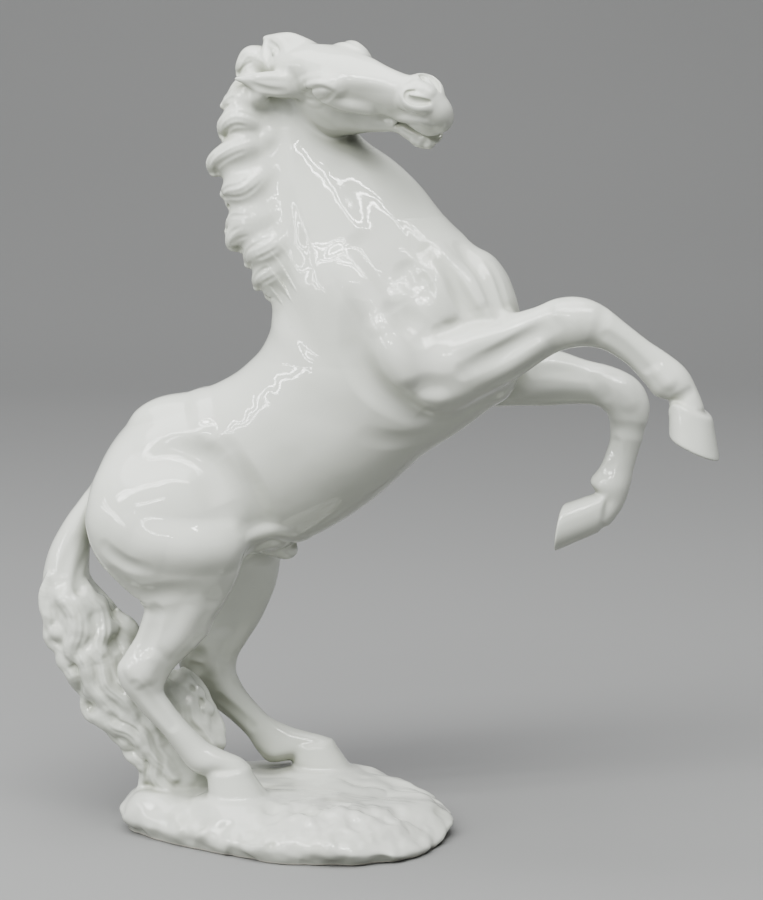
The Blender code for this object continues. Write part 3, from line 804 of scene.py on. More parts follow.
# the eye: ball, creases of both lids, their rims and the inner corner
EYE_STROKES = [
    ([(308, 95), (318, 94), (328, 94)], (-0.3, -0.5, -0.3), (3.0, 3.4, 2.8), True),
    ([(314, 94.8), (322, 93.6)], 0.65, 2.7, True),
    ([(304, 89.5), (312, 84.8), (322, 84.0), (332, 88)], (0.3, 0.7, 0.7, 0.3), 2.0, True),
    ([(303, 94.5), (308.5, 90), (316, 87.6), (325, 87.6), (333, 91.5)], (-0.2, -0.4, -0.5, -0.4, -0.2), 1.35, True),
    ([(305, 97), (311, 100.2), (319, 101.2), (327, 99.2), (333, 94)], (-0.2, -0.4, -0.45, -0.4, -0.3), 1.3, True),
    ([(308, 103.4), (318, 105), (328, 103)], (0.1, 0.25, 0.1), 1.8, True),
    ([(304, 82.5), (314, 78.6), (326, 78.4)], (-0.2, -0.5, -0.2), 1.8, True),
]
strokes_on(skull, EYE_STROKES, -60.0, 20.0)
marks = on_head([(414, 91), (406.8, 92.5), (406.5, 97), (412, 100.2), (420, 101.6), (429, 102)])
skull.cut(Strand(sunk(marks, 0.2), (0.5, 0.9, 1.2, 1.5, 1.5, 0.8)), 0.6, both=True)

# ------------------------------------------------------------------ the body
limbs = {
    "right_hind": Loft(sections(HIND["right"]), n=2.1, cap=0.8),
    "left_hind": Loft(sections(HIND["left"]), n=2.1, cap=0.8),
    "right_fore": Loft(sections(FORE["right"]), n=2.1, cap=0.8),
    "left_fore": Loft(sections(FORE["left"]), n=2.1, cap=0.8),
}
hooves = {name: Hoof(*pair) for name, pair in HOOF.items()}
barrel = Loft(sections(BARREL, 0.55), n=2.0, cap=0.3, care=26.0)
neck = Loft(sections(NECK), n=2.1, cap=0.6, care=26.0)

body = Sculpt()
body.add(barrel, 16)
body.add(neck, 16)
# shoulder blade, triceps, point of the shoulder and breast
body.add(blob_drawn(316, 266, 432, 372, 40, -21.0, 13.0), 12, both=True)
body.add(blob_drawn(376, 316, 430, 402, 32, -29.0, 14.0), 5.5, both=True)
body.add(blob_drawn(424, 262, 462, 328, 20, -23.0, 8.5), 8, both=True)
body.add(blob_drawn(478, 262, 496, 392, 26, -18.0, 13.0), 9, both=True)
for name, limb in limbs.items():
    body.add(limb, 6.5 if "hind" in name else 5)
    body.add(hooves[name], 1.6)
# sheath
body.add(Blob(at(287, 549, 6.0), (4.2, 4.2, 3.6)), 3)
body.add(blob_drawn(258, 541, 288, 550, 9, 5.0, 5.0), 4)

# strokes: line, push, reach, and whether the other side has it too
BODY_STROKES = [
    # shoulder: two hollows before the triceps, the ridge between, edge of the triceps
    ([(408, 274), (416, 283), (422, 290)], (-1.4, -2.0, -1.2), 6.5, True),
    ([(398, 310), (408, 323), (418, 333)], (-1.2, -2.2, -1.2), 7.0, True),
    ([(433, 262), (441, 286), (448, 312)], (0.6, 1.3, 1.0), 5.0, True),
    ([(361, 300), (356, 326), (358, 352), (368, 376), (384, 393), (402, 404), (420, 412)], (-0.6, -1.6, -2.4, -2.8, -2.6, -2.0, -0.6), 8.0, True),
    ([(428, 402), (438, 401)], 0.8, 6.0, True),
    ([(412, 389), (428, 386), (444, 387), (464, 382)], (-0.3, -0.8, -0.8, -0.3), 5.6, True),
    ([(344, 258), (362, 288), (378, 318)], (0.5, 1.3, 1.0), 8.0, True),
    ([(362, 246), (380, 268), (392, 284)], -1.2, 7.0, True),
    ([(326, 286), (336, 316), (344, 340)], (-0.3, -0.7, -0.4), 10.0, True),
    ([(386, 330), (396, 352), (404, 376)], 1.0, 7.0, True),
    ([(440, 332), (470, 324), (500, 320)], -0.8, 4.0, False),
    # breast: two long furrows and the swellings beside them
    ([(428, 250), (448, 274), (462, 298), (474, 318)], (-0.5, -1.3, -1.6, -1.0), 4.4, True),
    ([(442, 248), (464, 274), (480, 302)], (0.3, 0.8, 0.6), 4.0, True),
    ([(460, 247), (478, 268), (490, 292), (500, 314)], (-0.4, -1.1, -1.3, -0.9), 3.8, True),
    ([(489, 264), (499, 284), (506, 306)], (-0.2, -0.6, -0.4), 2.8, True),
    # forearm and knee of the near foreleg
    ([(464, 371), (500, 353), (530, 336), (552, 325)], (-0.8, -1.6, -1.4, -0.4), 4.4, False),
    ([(462, 345), (495, 336), (528, 322)], (0.4, 0.9, 0.4), 5.0, False),
    ([(480, 384), (510, 368), (540, 348)], (0.3, 0.9, 0.4), 4.0, False),
    ([(546, 306), (550, 328), (553, 350)], -0.5, 4.0, False),
    ([(562, 308), (572, 322), (576, 340)], 0.6, 5.0, False),
    ([(604, 312), (600, 328), (594, 344)], -0.5, 4.0, False),
    ([(608, 336), (625, 348), (645, 368)], -0.5, 3.0, False),
    ([(660, 372), (668, 382)], 0.7, 4.0, False),
    ([(690, 392), (680, 398), (668, 402)], -0.5, 3.0, False),
    # far foreleg
    ([(536, 372), (560, 371), (585, 374)], (-0.4, -0.9, -0.4), 3.6, False),
    ([(530, 392), (560, 388), (590, 388)], (0.2, 0.5, 0.3), 4.0, False),
    ([(596, 380), (604, 395)], -0.5, 4.0, False),
    ([(626, 385), (630, 402)], 0.6, 5.0, False),
    ([(614, 428), (630, 430), (644, 432)], -0.5, 4.0, False),
    ([(616, 442), (613, 460), (606, 474)], -0.5, 3.0, False),
    # haunch
    ([(197, 392), (199, 408), (202, 426)], (0.8, 1.5, 0.5), 6.0, True),
    ([(138, 466), (172, 456), (203, 464), (216, 484), (224, 504)], (-0.6, -2.2, -2.8, -2.4, -1.0), 10.0, True),
    ([(152, 440), (174, 431), (196, 433)], 0.9, 9.0, True),
    ([(132, 538), (165, 546), (198, 548), (230, 546)], (0.8, 2.2, 2.8, 2.6), 11.0, True),
    ([(164, 560), (190, 564), (214, 562)], (1.4, 2.4, 2.0), 17.0, True),
    ([(224, 458), (244, 490), (256, 520)], (-1.4, -3.0, -2.6), 9.5, True),
    ([(248, 541), (268, 532), (288, 533), (304, 540)], (0.5, 1.1, 1.0, 0.4), 4.2, True),
    ([(256, 549), (274, 542), (292, 545)], (-0.5, -1.0, -0.5), 3.6, True),
    ([(106, 548), (126, 563), (146, 567)], (-0.5, -1.2, -0.4), 4.2, True),
    ([(116, 575), (140, 594), (166, 592), (190, 588)], (-0.6, -1.4, -1.0, -0.3), 5.6, True),
    ([(232, 556), (225, 580), (215, 600)], -0.5, 5.0, True),
    # gaskin, hock and cannon bones
    ([(156, 610), (152, 630), (144, 650)], (-0.8, -1.6, -1.2), 4.0, False),
    ([(196, 606), (186, 628), (172, 648)], (0.4, 0.9, 0.7), 6.0, False),
    ([(152, 660), (148, 676)], 1.1, 5.0, False),
    ([(128, 668), (138, 684)], 0.7, 3.4, False),
    ([(136, 684), (152, 704), (172, 726)], -0.6, 3.0, False),
    ([(224, 640), (222, 652), (216, 664)], 0.6, 6.0, False),
    ([(200, 640), (198, 655), (196, 668)], -0.8, 4.0, False),
    ([(218, 698), (236, 712), (252, 726)], -0.5, 3.0, False),
    # girth and neck
    ([(368, 436), (395, 440), (422, 436)], (-0.2, -0.6, -0.2), 5.0, True),
    ([(386, 424), (410, 428), (436, 424)], (0.1, 0.3, 0.1), 4.4, True),
    ([(276, 130), (280, 180), (292, 228), (304, 272)], (-0.5, -1.0, -1.1, -0.4), 6.0, True),
    ([(344, 170), (372, 220), (400, 266)], (-0.6, -1.3, -1.0), 8.0, True),
]
strokes_on(body, BODY_STROKES)

# ------------------------------------------------------------------ the ears
right_ear = Sculpt(head_across)
right_ear.add(Loft([
    drawn((316, 76, 314, 94, -9.0, 2.6)),
    drawn((302, 73, 302, 97, -12.0, 3.2)),
    drawn((287, 72, 288, 98, -13.6, 3.4)),
    drawn((273, 71.5, 274, 97, -14.2, 3.0)),
    drawn((259, 72.5, 259, 91, -13.8, 2.3)),
    drawn((247, 75, 245, 84, -12.6, 1.4)),
    drawn((236, 77.2, 235, 80, -11.2, 0.6)),
], n=2.0, cap=0.6), 0.5)
strokes_on(right_ear, [
    ([(284, 91), (270, 90), (257, 86.5), (247, 82)], (-0.2, -0.6, -0.5, -0.2), 1.8, False),
    ([(290, 78), (272, 76), (256, 76)], (0.2, 0.5, 0.3), 2.0, False),
])
left_ear = Sculpt(head_across)
left_ear.add(Loft([
    drawn((318, 46, 296, 74, -9.0, 3.0)),
    drawn((304, 37, 284, 75, -8.0, 3.4)),
    drawn((291, 32.5, 272, 74, -6.0, 3.4)),
    drawn((279, 33, 264, 66, -3.8, 2.8)),
    drawn((271, 34.5, 262.5, 52, -2.0, 1.8)),
    drawn((265, 36, 264, 40, -0.8, 0.9)),
], n=2.0, cap=0.6), 0.5)
# the shell of the ear: its hollow, the knob in it and the fold of its front rim
strokes_on(left_ear, [
    ([(268, 46), (270, 56), (275, 66), (283, 70)], (-1.0, -2.0, -2.2, -0.9), 2.6, False),
    ([(268, 40.5), (276, 48), (282, 58), (291, 66.5)], (-0.5, -1.3, -1.5, -0.6), 1.5, False),
    ([(274, 52.5)], 1.9, 2.2, False),
    ([(278, 66)], 0.9, 2.0, False),
    ([(264.5, 42), (263.5, 52), (264.5, 62), (268, 71)], (0.4, 0.7, 0.7, 0.4), 1.3, False),
    ([(280, 42), (289, 54), (297, 62)], (0.3, 0.6, 0.4), 2.4, False),
], -40.0, 20.0)

# ------------------------------------------------------------------ the mane
PX = 0.366
MANE_MID = at(255, 160, -7.0)


def mane_across(p):
    p = np.asarray(p, float)
    return p - 2.0 * ((p - MANE_MID) @ LEFT)[..., None] * LEFT


MANE_CORE = [
    (248, 56, 266, 62, 0.0, 4.0),
    (241, 78, 264, 84, -1.0, 5.4),
    (234, 105, 263, 108, -3.4, 6.6),
    (228, 135, 264, 136, -5.0, 7.4),
    (219, 165, 267, 160, -6.0, 8.0),
    (228, 190, 272, 184, -7.0, 8.4),
    (234, 215, 279, 206, -8.0, 8.6),
    (240, 240, 286, 228, -9.0, 8.8),
    (252, 262, 290, 250, -9.5, 8.2),
    (263, 284, 290, 272, -10.0, 6.6),
    (276, 305, 288, 298, -10.0, 3.8),
    (279, 318, 286, 314, -10.0, 1.9),
]
LOBES = [
    ([(268, 66), (259, 57), (250, 56), (243, 65), (239, 73)], (6, 9.5, 9.5, 7, 3), (0, -1, -1, -1, -1)),
    ([(262, 88), (252, 90), (242, 90), (236, 95)], (6, 11, 11, 6.5), (-3, -5.5, -5.5, -4.5)),
    ([(262, 105), (248, 104), (234, 103), (223, 106)], (5, 7, 6.5, 3), (-6, -8.5, -8, -6)),
    ([(264, 126), (252, 122), (238, 120), (227, 125), (224, 135)], (4, 8, 12, 10, 5.5), (-7, -9.5, -10.5, -8.5, -7)),
    ([(266, 144), (252, 145), (237, 149), (223, 155), (214, 163), (214, 172)], (4, 7.5, 10.5, 10, 8, 5), (-7.5, -10.5, -12.5, -11, -8.5, -7)),
    ([(271, 163), (260, 177), (245, 187), (231, 190), (224, 194)], (4, 8, 11, 8.5, 4.5), (-8.5, -12, -14, -11, -8.5)),
    ([(272, 194), (258, 202), (244, 203), (231, 204)], (3, 5, 5.5, 4.5), (-10, -11, -9.5, -8)),
    ([(279, 205), (266, 216), (249, 219), (235, 221), (229, 230)], (4, 7.5, 9.5, 8, 4), (-10.5, -13.5, -13.5, -10.5, -8.5)),
    ([(264, 226), (248, 229), (235, 237), (232, 245), (240, 249)], (6, 8.5, 8, 6, 3.5), (-13, -13.5, -11.5, -9.5, -9)),
    ([(288, 226), (279, 241), (266, 250), (254, 255), (248, 264)], (4, 9.5, 12.5, 9, 4), (-12, -15.5, -16, -13, -10.5)),
    ([(291, 254), (283, 267), (270, 274), (260, 279), (257, 287)], (4, 8, 10.5, 8, 4), (-13, -15, -15, -12.5, -10.5)),
    ([(288, 274), (281, 285), (273, 292), (269, 296)], (4, 6.5, 6.5, 3.5), (-13, -13.5, -12.5, -11.5)),
    ([(286, 292), (281, 303), (280, 312), (281, 320)], (4, 4.5, 3.5, 2), (-13, -13, -12, -10.5)),
]
mane = Sculpt(mane_across)
mane.add(Loft(sections(MANE_CORE), n=2.1, cap=0.6), 1)
lanes = []
for number, (line, radii, depths) in enumerate(LOBES):
    pts = np.array([at(u, v, y + 0.6) for (u, v), y in zip(line, depths)])
    rad = np.array(radii) * PX
    mane.add(Strand(pts, rad), 3.4)
    # the far side's locks, set between those of the near side
    slip = np.array((1.6, 0.0, -2.6 if number % 2 else 2.2))
    if number:
        mane.add(Strand(mane_across(pts) + slip, rad), 3.4)
    run = np.gradient(pts, axis=0)
    over = np.cross(run, LEFT)
    over = over / np.linalg.norm(over, axis=1, keepdims=True)
    for lane, push in ((-0.5, -0.5), (0.1, -0.35), (0.55, -0.55)):
        sway = 0.2 * np.sin(np.linspace(0, 4, len(pts)) + number)[:, None]
        lanes.append((pts + over * rad[:, None] * (lane + sway) - LEFT * rad[:, None] * 0.9, push * np.linspace(0.3, 1.0, len(pts))))
for comb, push in lanes:
    mane.stroke(comb, push, 1.4, both=True)

# ------------------------------------------------------------------ the tail
TAIL_CORE = [
    (100, 474, 116, 498, 14.0, 6.0),
    (83, 495, 100, 518, 14.5, 7.4),
    (63, 523, 92, 540, 14.5, 8.8),
    (47, 556, 90, 558, 14.0, 10.2),
    (43, 585, 91, 580, 13.0, 11.2),
    (47, 608, 104, 601, 12.0, 12.0),
    (56, 634, 118, 622, 11.0, 12.6),
    (66, 662, 130, 645, 10.0, 12.6),
    (82, 682, 160, 668, 9.0, 12.2),
    (91, 704, 188, 690, 8.5, 11.8),
    (104, 727, 206, 712, 8.0, 11.6),
    (124, 745, 219, 735, 7.5, 11.6),
    (134, 760, 221, 752, 7.0, 11.6),
    (140, 775, 221, 768, 7.0, 11.4),
    (146, 792, 222, 786, 7.0, 11.8),
]
TAIL_LOCKS = [
    ([(52, 578), (46, 598), (52, 620), (58, 640), (72, 656)], (1.6, 3.6, 4.0, 3.6, 1.8)),
    ([(66, 580), (64, 600), (76, 616), (80, 636), (74, 652), (82, 664)], (1.4, 3.6, 4.4, 4.0, 3.2, 1.6)),
    ([(84, 584), (88, 600), (101, 612), (104, 632), (98, 648), (108, 662)], (1.4, 3.4, 4.4, 4.0, 3.2, 1.6)),
    ([(98, 598), (106, 614), (116, 630), (122, 648), (128, 662)], (1.2, 2.6, 3.2, 3.0, 1.6)),
    ([(58, 640), (64, 658), (76, 672), (82, 686), (92, 698)], (1.6, 3.4, 3.6, 3.2, 1.6)),
    ([(80, 648), (90, 664), (92, 684), (106, 700), (122, 712)], (1.6, 3.4, 3.6, 3.4, 1.8)),
    ([(98, 650), (108, 668), (112, 688), (128, 704), (144, 724)], (1.6, 3.2, 3.4, 3.2, 1.8)),
    ([(116, 658), (124, 680), (136, 700), (152, 716), (164, 740)], (1.4, 3.0, 3.2, 3.2, 1.8)),
    ([(86, 690), (92, 708), (106, 722), (118, 738), (134, 744)], (1.8, 3.4, 3.6, 3.2, 1.4)),
    ([(106, 702), (114, 720), (130, 732), (142, 748), (146, 764)], (1.6, 3.4, 3.6, 3.4, 2.2)),
    ([(128, 716), (142, 732), (152, 748), (166, 762), (172, 776)], (1.6, 3.2, 3.4, 3.2, 2.4)),
    ([(126, 746), (136, 754), (143, 766), (146, 782), (152, 798)], (2.0, 3.2, 3.2, 2.8, 2.4)),
    ([(150, 750), (158, 762), (160, 776), (168, 788), (172, 800)], (1.8, 2.8, 3.0, 2.8, 2.2)),
    ([(168, 668), (184, 682), (192, 702), (206, 716), (208, 740)], (1.6, 3.2, 3.4, 3.4, 2.2)),
    ([(182, 670), (197, 688), (207, 700), (213, 720), (218, 742)], (1.2, 2.6, 3.0, 3.2, 2.2)),
    ([(170, 692), (184, 706), (190, 726), (202, 742), (204, 756)], (1.4, 3.0, 3.2, 3.0, 2.0)),
    ([(118, 610), (126, 624), (132, 640), (136, 656)], (1.6, 3.0, 3.0, 1.8)),
]
tail_core = Loft(sections(TAIL_CORE), n=2.1, cap=0.5)
TAIL_MID = at(110, 660, 10.0)


def tail_across(p):
    p = np.asarray(p, float)
    return p - 2.0 * ((p - TAIL_MID) @ LEFT)[..., None] * LEFT


# curls and lumps standing on the locks: place and size
TAIL_LUMPS = [
    (78, 607, 4.4), (97, 606, 4.0), (60, 632, 3.6), (84, 630, 3.8), (110, 628, 3.4), (68, 660, 4.0), (88, 656, 3.4),
    (92, 690, 3.4), (108, 716, 3.4), (128, 742, 3.2),
    (184, 684, 3.8), (196, 694, 3.4), (188, 706, 3.8), (205, 709, 3.4), (199, 724, 4.0), (213, 731, 3.4), (205, 743, 3.6), (216, 744, 3.0), (190, 738, 3.4),
]
tail = Sculpt(tail_across)
tail.add(tail_core, 1)
combs = []
for number, (line, radii) in enumerate(TAIL_LOCKS):
    on = trace(tail_core, line, -40, 22)
    on = np.array([q if q[1] < 19 else at(u, v, 6.0) for q, (u, v) in zip(on, line)])
    ease = catmull(np.column_stack([on, radii]), 3)
    wave = np.sin(np.linspace(0, 8.0, len(ease)) + 0.01 * line[0][0] * line[0][1])[:, None]
    run = np.gradient(ease[:, :3], axis=0)
    over = np.cross(run, LEFT)
    over = over / np.linalg.norm(over, axis=1, keepdims=True)
    pts = sunk(ease[:, :3], 1.2) + over * wave * 1.1
    tail.add(Strand(pts, ease[:, 3], 2), 2.0)
    if number not in (3, 16):
        back = seat(tail_core, tail_across(pts), 1.6)
        tail.add(Strand(back, ease[:, 3] * 0.9, 2), 2.0)
    for lane in (-0.5, 0.05, 0.55):
        combs.append((sunk(pts + over * ease[:, 3:4] * lane, -0.85 * ease[:, 3:4] * math.sqrt(1 - lane * lane)), -0.5 * np.sin(np.linspace(0.3, 2.9, len(pts)))))
lumps_at = sunk(trace(tail_core, [(u, v) for u, v, _ in TAIL_LUMPS], -40, 22), 1.7)
for c, (u, v, r) in zip(lumps_at, TAIL_LUMPS):
    tail.add(Blob(c if c[1] < 15 else at(u, v, 4.5), (r, r * 0.85, r * 0.9)), 2.4)
for comb, push in combs:
    tail.stroke(comb, push, 1.4, both=True)
tail.stroke(trace(tail_core, [(74, 540), (64, 566), (62, 590)], -40, 22), (-0.2, -0.6, -0.5), 3.0, both=True)
tail.stroke(trace(tail_core, [(86, 552), (78, 574), (78, 594)], -40, 22), (-0.2, -0.5, -0.5), 2.6, both=True)

# ------------------------------------------------------------------ the rock
PLAN = np.array([
    (60, 0), (55, 12), (42, 28), (30, 35.5), (12, 40), (-10, 41), (-32, 36), (-49, 25), (-58, 11), (-59.5, 0),
    (-54, -9), (-42, -18.6), (-22, -31.6), (-5, -41), (10, -44.5), (21, -45.2), (37, -41), (47.5, -34), (54.5, -22), (59, -8),
], float)
PLAN_MID = np.array((2.0, -2.0))


class Rock:
    """A low rock: an uneven plan, bulging sides, layered top, flat underneath."""

    lo, hi = np.array((-70.0, -52.0, -1.0)), np.array((72.0, 50.0, 24.0))

    def __init__(self):
        ring = catmull(np.vstack([PLAN[-2:], PLAN, PLAN[:3]]), 6) - PLAN_MID
        a = np.unwrap(np.arctan2(ring[:, 1], ring[:, 0]))
        self.a, self.r = a, np.hypot(ring[:, 0], ring[:, 1])

    def __call__(self, p):
        x, y, z = p[:, 0], p[:, 1], p[:, 2]
        qx, qy = x - PLAN_MID[0], y - PLAN_MID[1]
        a = np.arctan2(qy, qx)
        a = np.where(a < self.a[0] + 0.3, a + 2 * np.pi, a)
        rho = np.hypot(qx, qy)
        plan = (rho - np.interp(a, self.a, self.r)) * 0.93
        calm = np.ones(len(p))
        for hx, hy, hr in STANDS:
            calm = np.minimum(calm, smooth((np.hypot(x - hx, y - hy) - hr) / 7.0))
        front = smooth((-qy - 6.0) / 16.0)
        top = 17.0 - 6.6 * smooth((x - 14.0) / 48.0) - 1.0 * smooth((-x - 46) / 16.0)
        top = top - 4.2 * front * calm * smooth((plan + 18.0) / 18.0) + 0.9 * (1 - calm)
        # sides: drawn in under the foot, fullest at half height
        side = plan - 3.6 * np.sin(np.clip((z + 1.0) / np.maximum(top, 6.0), 0, 1) * np.pi * 0.8) + 0.4
        lumps = 1.5 * noise3(p / np.array((17.0, 17.0, 13.0)), 11) + 1.1 * noise3(p / np.array((8.5, 8.5, 7.0)), 12)
        lumps += 0.9 * (0.35 - np.abs(noise3(np.stack([x / 13.0, y / 13.0, z / 7.0 + x / 40.0], -1), 13)))
        lumps += 0.6 * noise3(p / 4.4, 14)
        foot = noise3(np.stack([x / 9.0, y / 9.0, z / 30.0], -1), 15)
        side = side - lumps * smooth(z / 6.0 + 0.3) + 2.4 * np.maximum(foot - 0.05, 0) * smooth((6.0 - z) / 4.5)
        # the top: long layers running from left to right
        warp = 4.5 * noise3(p / 24.0, 21) + 1.5 * noise3(p / 9.0, 26)
        layer = noise3(np.stack([x / 26.0, (y + warp + 0.16 * x) / 9.5, z / 12.0], -1), 22)
        layer2 = noise3(np.stack([x / 14.0, (y + warp + 0.16 * x) / 4.6, z / 12.0], -1), 23)
        swell = 0.9 * noise3(p / np.array((19.0, 15.0, 12.0)), 24)
        rough = (2.2 * (np.abs(layer) - 0.35) + 0.3 * (np.abs(layer2) - 0.3)) * (0.45 + 0.55 * smooth((x + 30) / 30.0))
        rough = rough * (1.0 - 0.65 * front) + 0.7 * noise3(p / np.array((9.0, 7.0, 7.0)), 25)
        rough = rough + front * (0.9 * noise3(p / 5.2, 27) + 0.4 * noise3(p / 3.0, 28))
        d = smax(side, z - top - (rough + swell - 0.2) * calm, 9.0)
        return smax(d, -z, 0.9)


STANDS = []
for name in ("right_hind", "left_hind"):
    c = hooves[name].sole[:3]
    STANDS.append((c[0], c[1], 11.0))
rock = Sculpt()
rock.add(Rock(), 0.5)

# ------------------------------------------------------------------ the figure
# all the cast sections, run together where slip and glaze fill the joints
figure = Sculpt()
figure.add(body, 0.5)
figure.add(skull, 3.0)
figure.add(right_ear, 3.2)
figure.add(left_ear, 2.2)
figure.add(mane, 4.0)
tail.texture(Wobble(0.45, 6.5, 5, 108.0), (-300, -300, 9), (300, 300, 400))
figure.add(tail, 2.4)
figure.add(rock, 2.0)
FIG_LO = np.min([body.lo, skull.lo, left_ear.lo, right_ear.lo], axis=0)
FIG_HI = np.max([body.hi, skull.hi, left_ear.hi, right_ear.hi], axis=0)
HEAD_LO = np.min([skull.lo, left_ear.lo, right_ear.lo], axis=0)
HEAD_HI = np.max([skull.hi, left_ear.hi, right_ear.hi], axis=0)
figure.texture(Wobble(0.09, 11.0, 3), (-300, -300, 9), (300, 300, 400))

# =============================================================================
# Meshes: every solid's surface, the figure's cut into its pieces along the
# seams of the casting
# =============================================================================
SCALE = 1.0


def hollow(verts, normals):
    """How far each point lies in a fold, and under the figure, between 0 and 1: masks for glaze pooled in folds with
    painted shade there, and for painted shade on the undersides.
    """
    near_by = 1.0 - many(figure, verts + normals * 1.6) / 1.6
    wide = 1.0 - many(figure, verts + normals * 5.0) / 5.0
    far = 1.0 - many(figure, verts + normals * 13.0) / 8.0
    # fold: near and wide occlusion, for glaze pooled in creases and painted shade in them
    fold = 0.5 * np.clip(near_by, 0, 1) + 0.6 * np.clip(wide, 0, 1)
    # under: painted shade, darker on downward-facing surfaces and beneath nearby parts of the figure
    under = 0.5 * np.clip(far, 0, 1) + 0.9 * smooth((0.42 - normals[:, 2]) / 1.3)
    return np.clip(fold, 0, 1), np.clip(under, 0, 1)


def close_up(quads, verts, normals):
    """Caps over the openings of a cut piece, each run in to a spine along its middle."""
    e = np.concatenate([quads[:, [0, 1]], quads[:, [1, 2]], quads[:, [2, 3]], quads[:, [3, 0]]])
    n = len(verts)
    # directed edges left over where an edge isn't used equally both ways
    ways, many = np.unique(e[:, 0].astype(np.int64) * n + e[:, 1], return_counts=True)
    back = ways % n * n + ways // n
    pair = np.clip(np.searchsorted(ways, back), 0, len(ways) - 1)
    spare = many - np.where(ways[pair] == back, many[pair], 0)
    rim = np.repeat(ways, np.maximum(spare, 0))
    nxt = {}
    for a, b in np.stack([rim // n, rim % n], -1).tolist():
        nxt.setdefault(a, []).append(b)
    loops = []
    while nxt:
        a = next(iter(nxt))
        path, place = [a], {a: 0}
        while a in nxt:
            a, outs = nxt[a].pop(), a
            if not nxt[outs]:
                del nxt[outs]
            if a in place:
                i = place[a]
                loops.append(path[i:])
                for w in path[i + 1:]:
                    del place[w]
                del path[i + 1:]
            else:
                place[a] = len(path)
                path.append(a)
    extra, extra_n, faces = [], [], []
    for loop in loops:
        ring = verts[loop]
        mid = ring.mean(0)
        area = np.cross(ring - mid, np.roll(ring, -1, 0) - mid).sum(0)
        way = np.linalg.eigh(np.cov((ring - mid).T))[1][:, 2]
        t = (ring - mid) @ way
        bins = int(np.clip((t.max() - t.min()) / 2.5, 1, 60))
        spot = np.clip(((t - t.min()) / (t.max() - t.min() + 1e-9) * bins).astype(int), 0, bins - 1)
        count = np.bincount(spot, minlength=bins)
        full = np.nonzero(count)[0]
        spine = np.stack([np.interp(np.arange(bins), full, np.bincount(spot, ring[:, i], bins)[full] / count[full]) for i in range(3)], -1)
        for _ in range(4):
            wide = np.vstack([spine[:1], spine, spine[-1:]])
            spine = 0.25 * wide[:-2] + 0.5 * wide[1:-1] + 0.25 * wide[2:]
        proud = figure(spine) > -1.6
        if proud.any():
            spine[proud] = seat(figure, spine[proud], 1.6)
        k = n + len(extra)
        extra.extend(spine)
        extra_n.extend([-area / (np.linalg.norm(area) + 1e-9)] * bins)
        for i, a in enumerate(loop):
            j = (i + 1) % len(loop)
            faces.append((loop[j], a, k + spot[i]))
            step = 1 if spot[j] > spot[i] else -1
            for m in range(spot[i], spot[j], step):
                faces.append((loop[j], k + m, k + m + step))
    if extra:
        verts, normals = np.vstack([verts, extra]), np.vstack([normals, extra_n])
    return verts, normals, faces


def make(name, verts, quads, normals, nodes, mat, seal=False):
    used = np.unique(quads)
    index = np.full(len(verts), -1)
    index[used] = np.arange(len(used))
    verts, normals, quads = verts[used], normals[used], index[quads]
    fold, under = hollow(verts, normals)
    faces = quads.tolist()
    if seal:
        verts, normals, caps = close_up(quads, verts, normals)
        faces = faces + [list(f) for f in caps]
        fold, under = [np.concatenate([f, np.zeros(len(verts) - len(f))]) for f in (fold, under)]
    mesh = bpy.data.meshes.new(name)
    mesh.from_pydata((verts * 0.001).tolist(), [], faces)
    mesh.update()
    mesh.shade_smooth()
    mesh.normals_split_custom_set_from_vertices(normals.tolist())
    # fold carries pooled glaze and painted shade in creases; under carries painted shade on the undersides
    for label, values in (("fold", fold), ("under", under)):
        layer = mesh.attributes.new(label, "FLOAT", "POINT")
        layer.data.foreach_set("value", values.astype(np.float32))
    obj = bpy.data.objects.new(name, mesh)
    bpy.context.scene.collection.objects.link(obj)
    mesh.materials.append(mat)
    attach(obj, "root")
    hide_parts(*nodes)
    print("made", name, len(verts), len(faces), flush=True)
    return obj


def seam_of(loft, place):
    """The plane of a loft's section at a row of its drawing."""
    row, _ = spline(loft.table, np.array([place * loft.steps]))
    return row[0, 0:3], row[0, 12:15]


SEAMS = {name: seam_of(limbs[name], SEAM[name]) for name in limbs}
withers, breast = at(278, 325, -10.0), at(506, 294, -14.0)
rise = unit(np.cross(unit(breast - withers), LEFT))
SEAMS["neck"] = ((withers + breast) / 2, rise if rise[2] > 0 else -rise)
SOLIDS = {"head": skull, "right_ear": right_ear, "left_ear": left_ear, "mane": mane, "tail": tail, "rock_base": rock}
LIMB_ORDER = ("right_hind", "left_hind", "right_fore", "left_fore")
LABEL = {"neck": 1, "head": 2, "right_ear": 7, "left_ear": 8, "mane": 9, "tail": 10, "rock_base": 11}
LABEL.update({name: 3 + i for i, name in enumerate(LIMB_ORDER)})


def beyond(seam, p):
    """How far points lie past a seam: a plane, or the crease where two forms meet."""
    if seam in SOLIDS:
        d = many(body, p)
        for name, solid in SOLIDS.items():
            if name != seam:
                d = np.minimum(d, many(solid, p))
        return d - many(SOLIDS[seam], p)
    c, m = SEAMS[seam]
    return (p - c) @ m


def seam_slope(seam, p, e=0.15):
    if seam in SEAMS:
        return np.broadcast_to(SEAMS[seam][1], p.shape)
    k = np.array([[1, -1, -1], [-1, -1, 1], [-1, 1, -1], [1, 1, 1]], float)
    return sum(beyond(seam, p + e * t)[:, None] * t for t in k) / (4 * e)


def sorted_out(p):
    """Which piece each point of the figure belongs to: 0 torso, and see LABEL."""
    label = np.zeros(len(p), int)
    label[(beyond("neck", p) > 0) & (p[:, 2] > 150)] = 1
    for name in LIMB_ORDER:
        d = np.minimum(many(limbs[name], p), many(hooves[name], p))
        label[(beyond(name, p) > 0) & (d < 4)] = LABEL[name]
    best = many(body, p)
    for name, solid in SOLIDS.items():
        d = many(solid, p)
        nearer = d < best
        label[nearer] = LABEL[name]
        best = np.where(nearer, d, best)
    return label


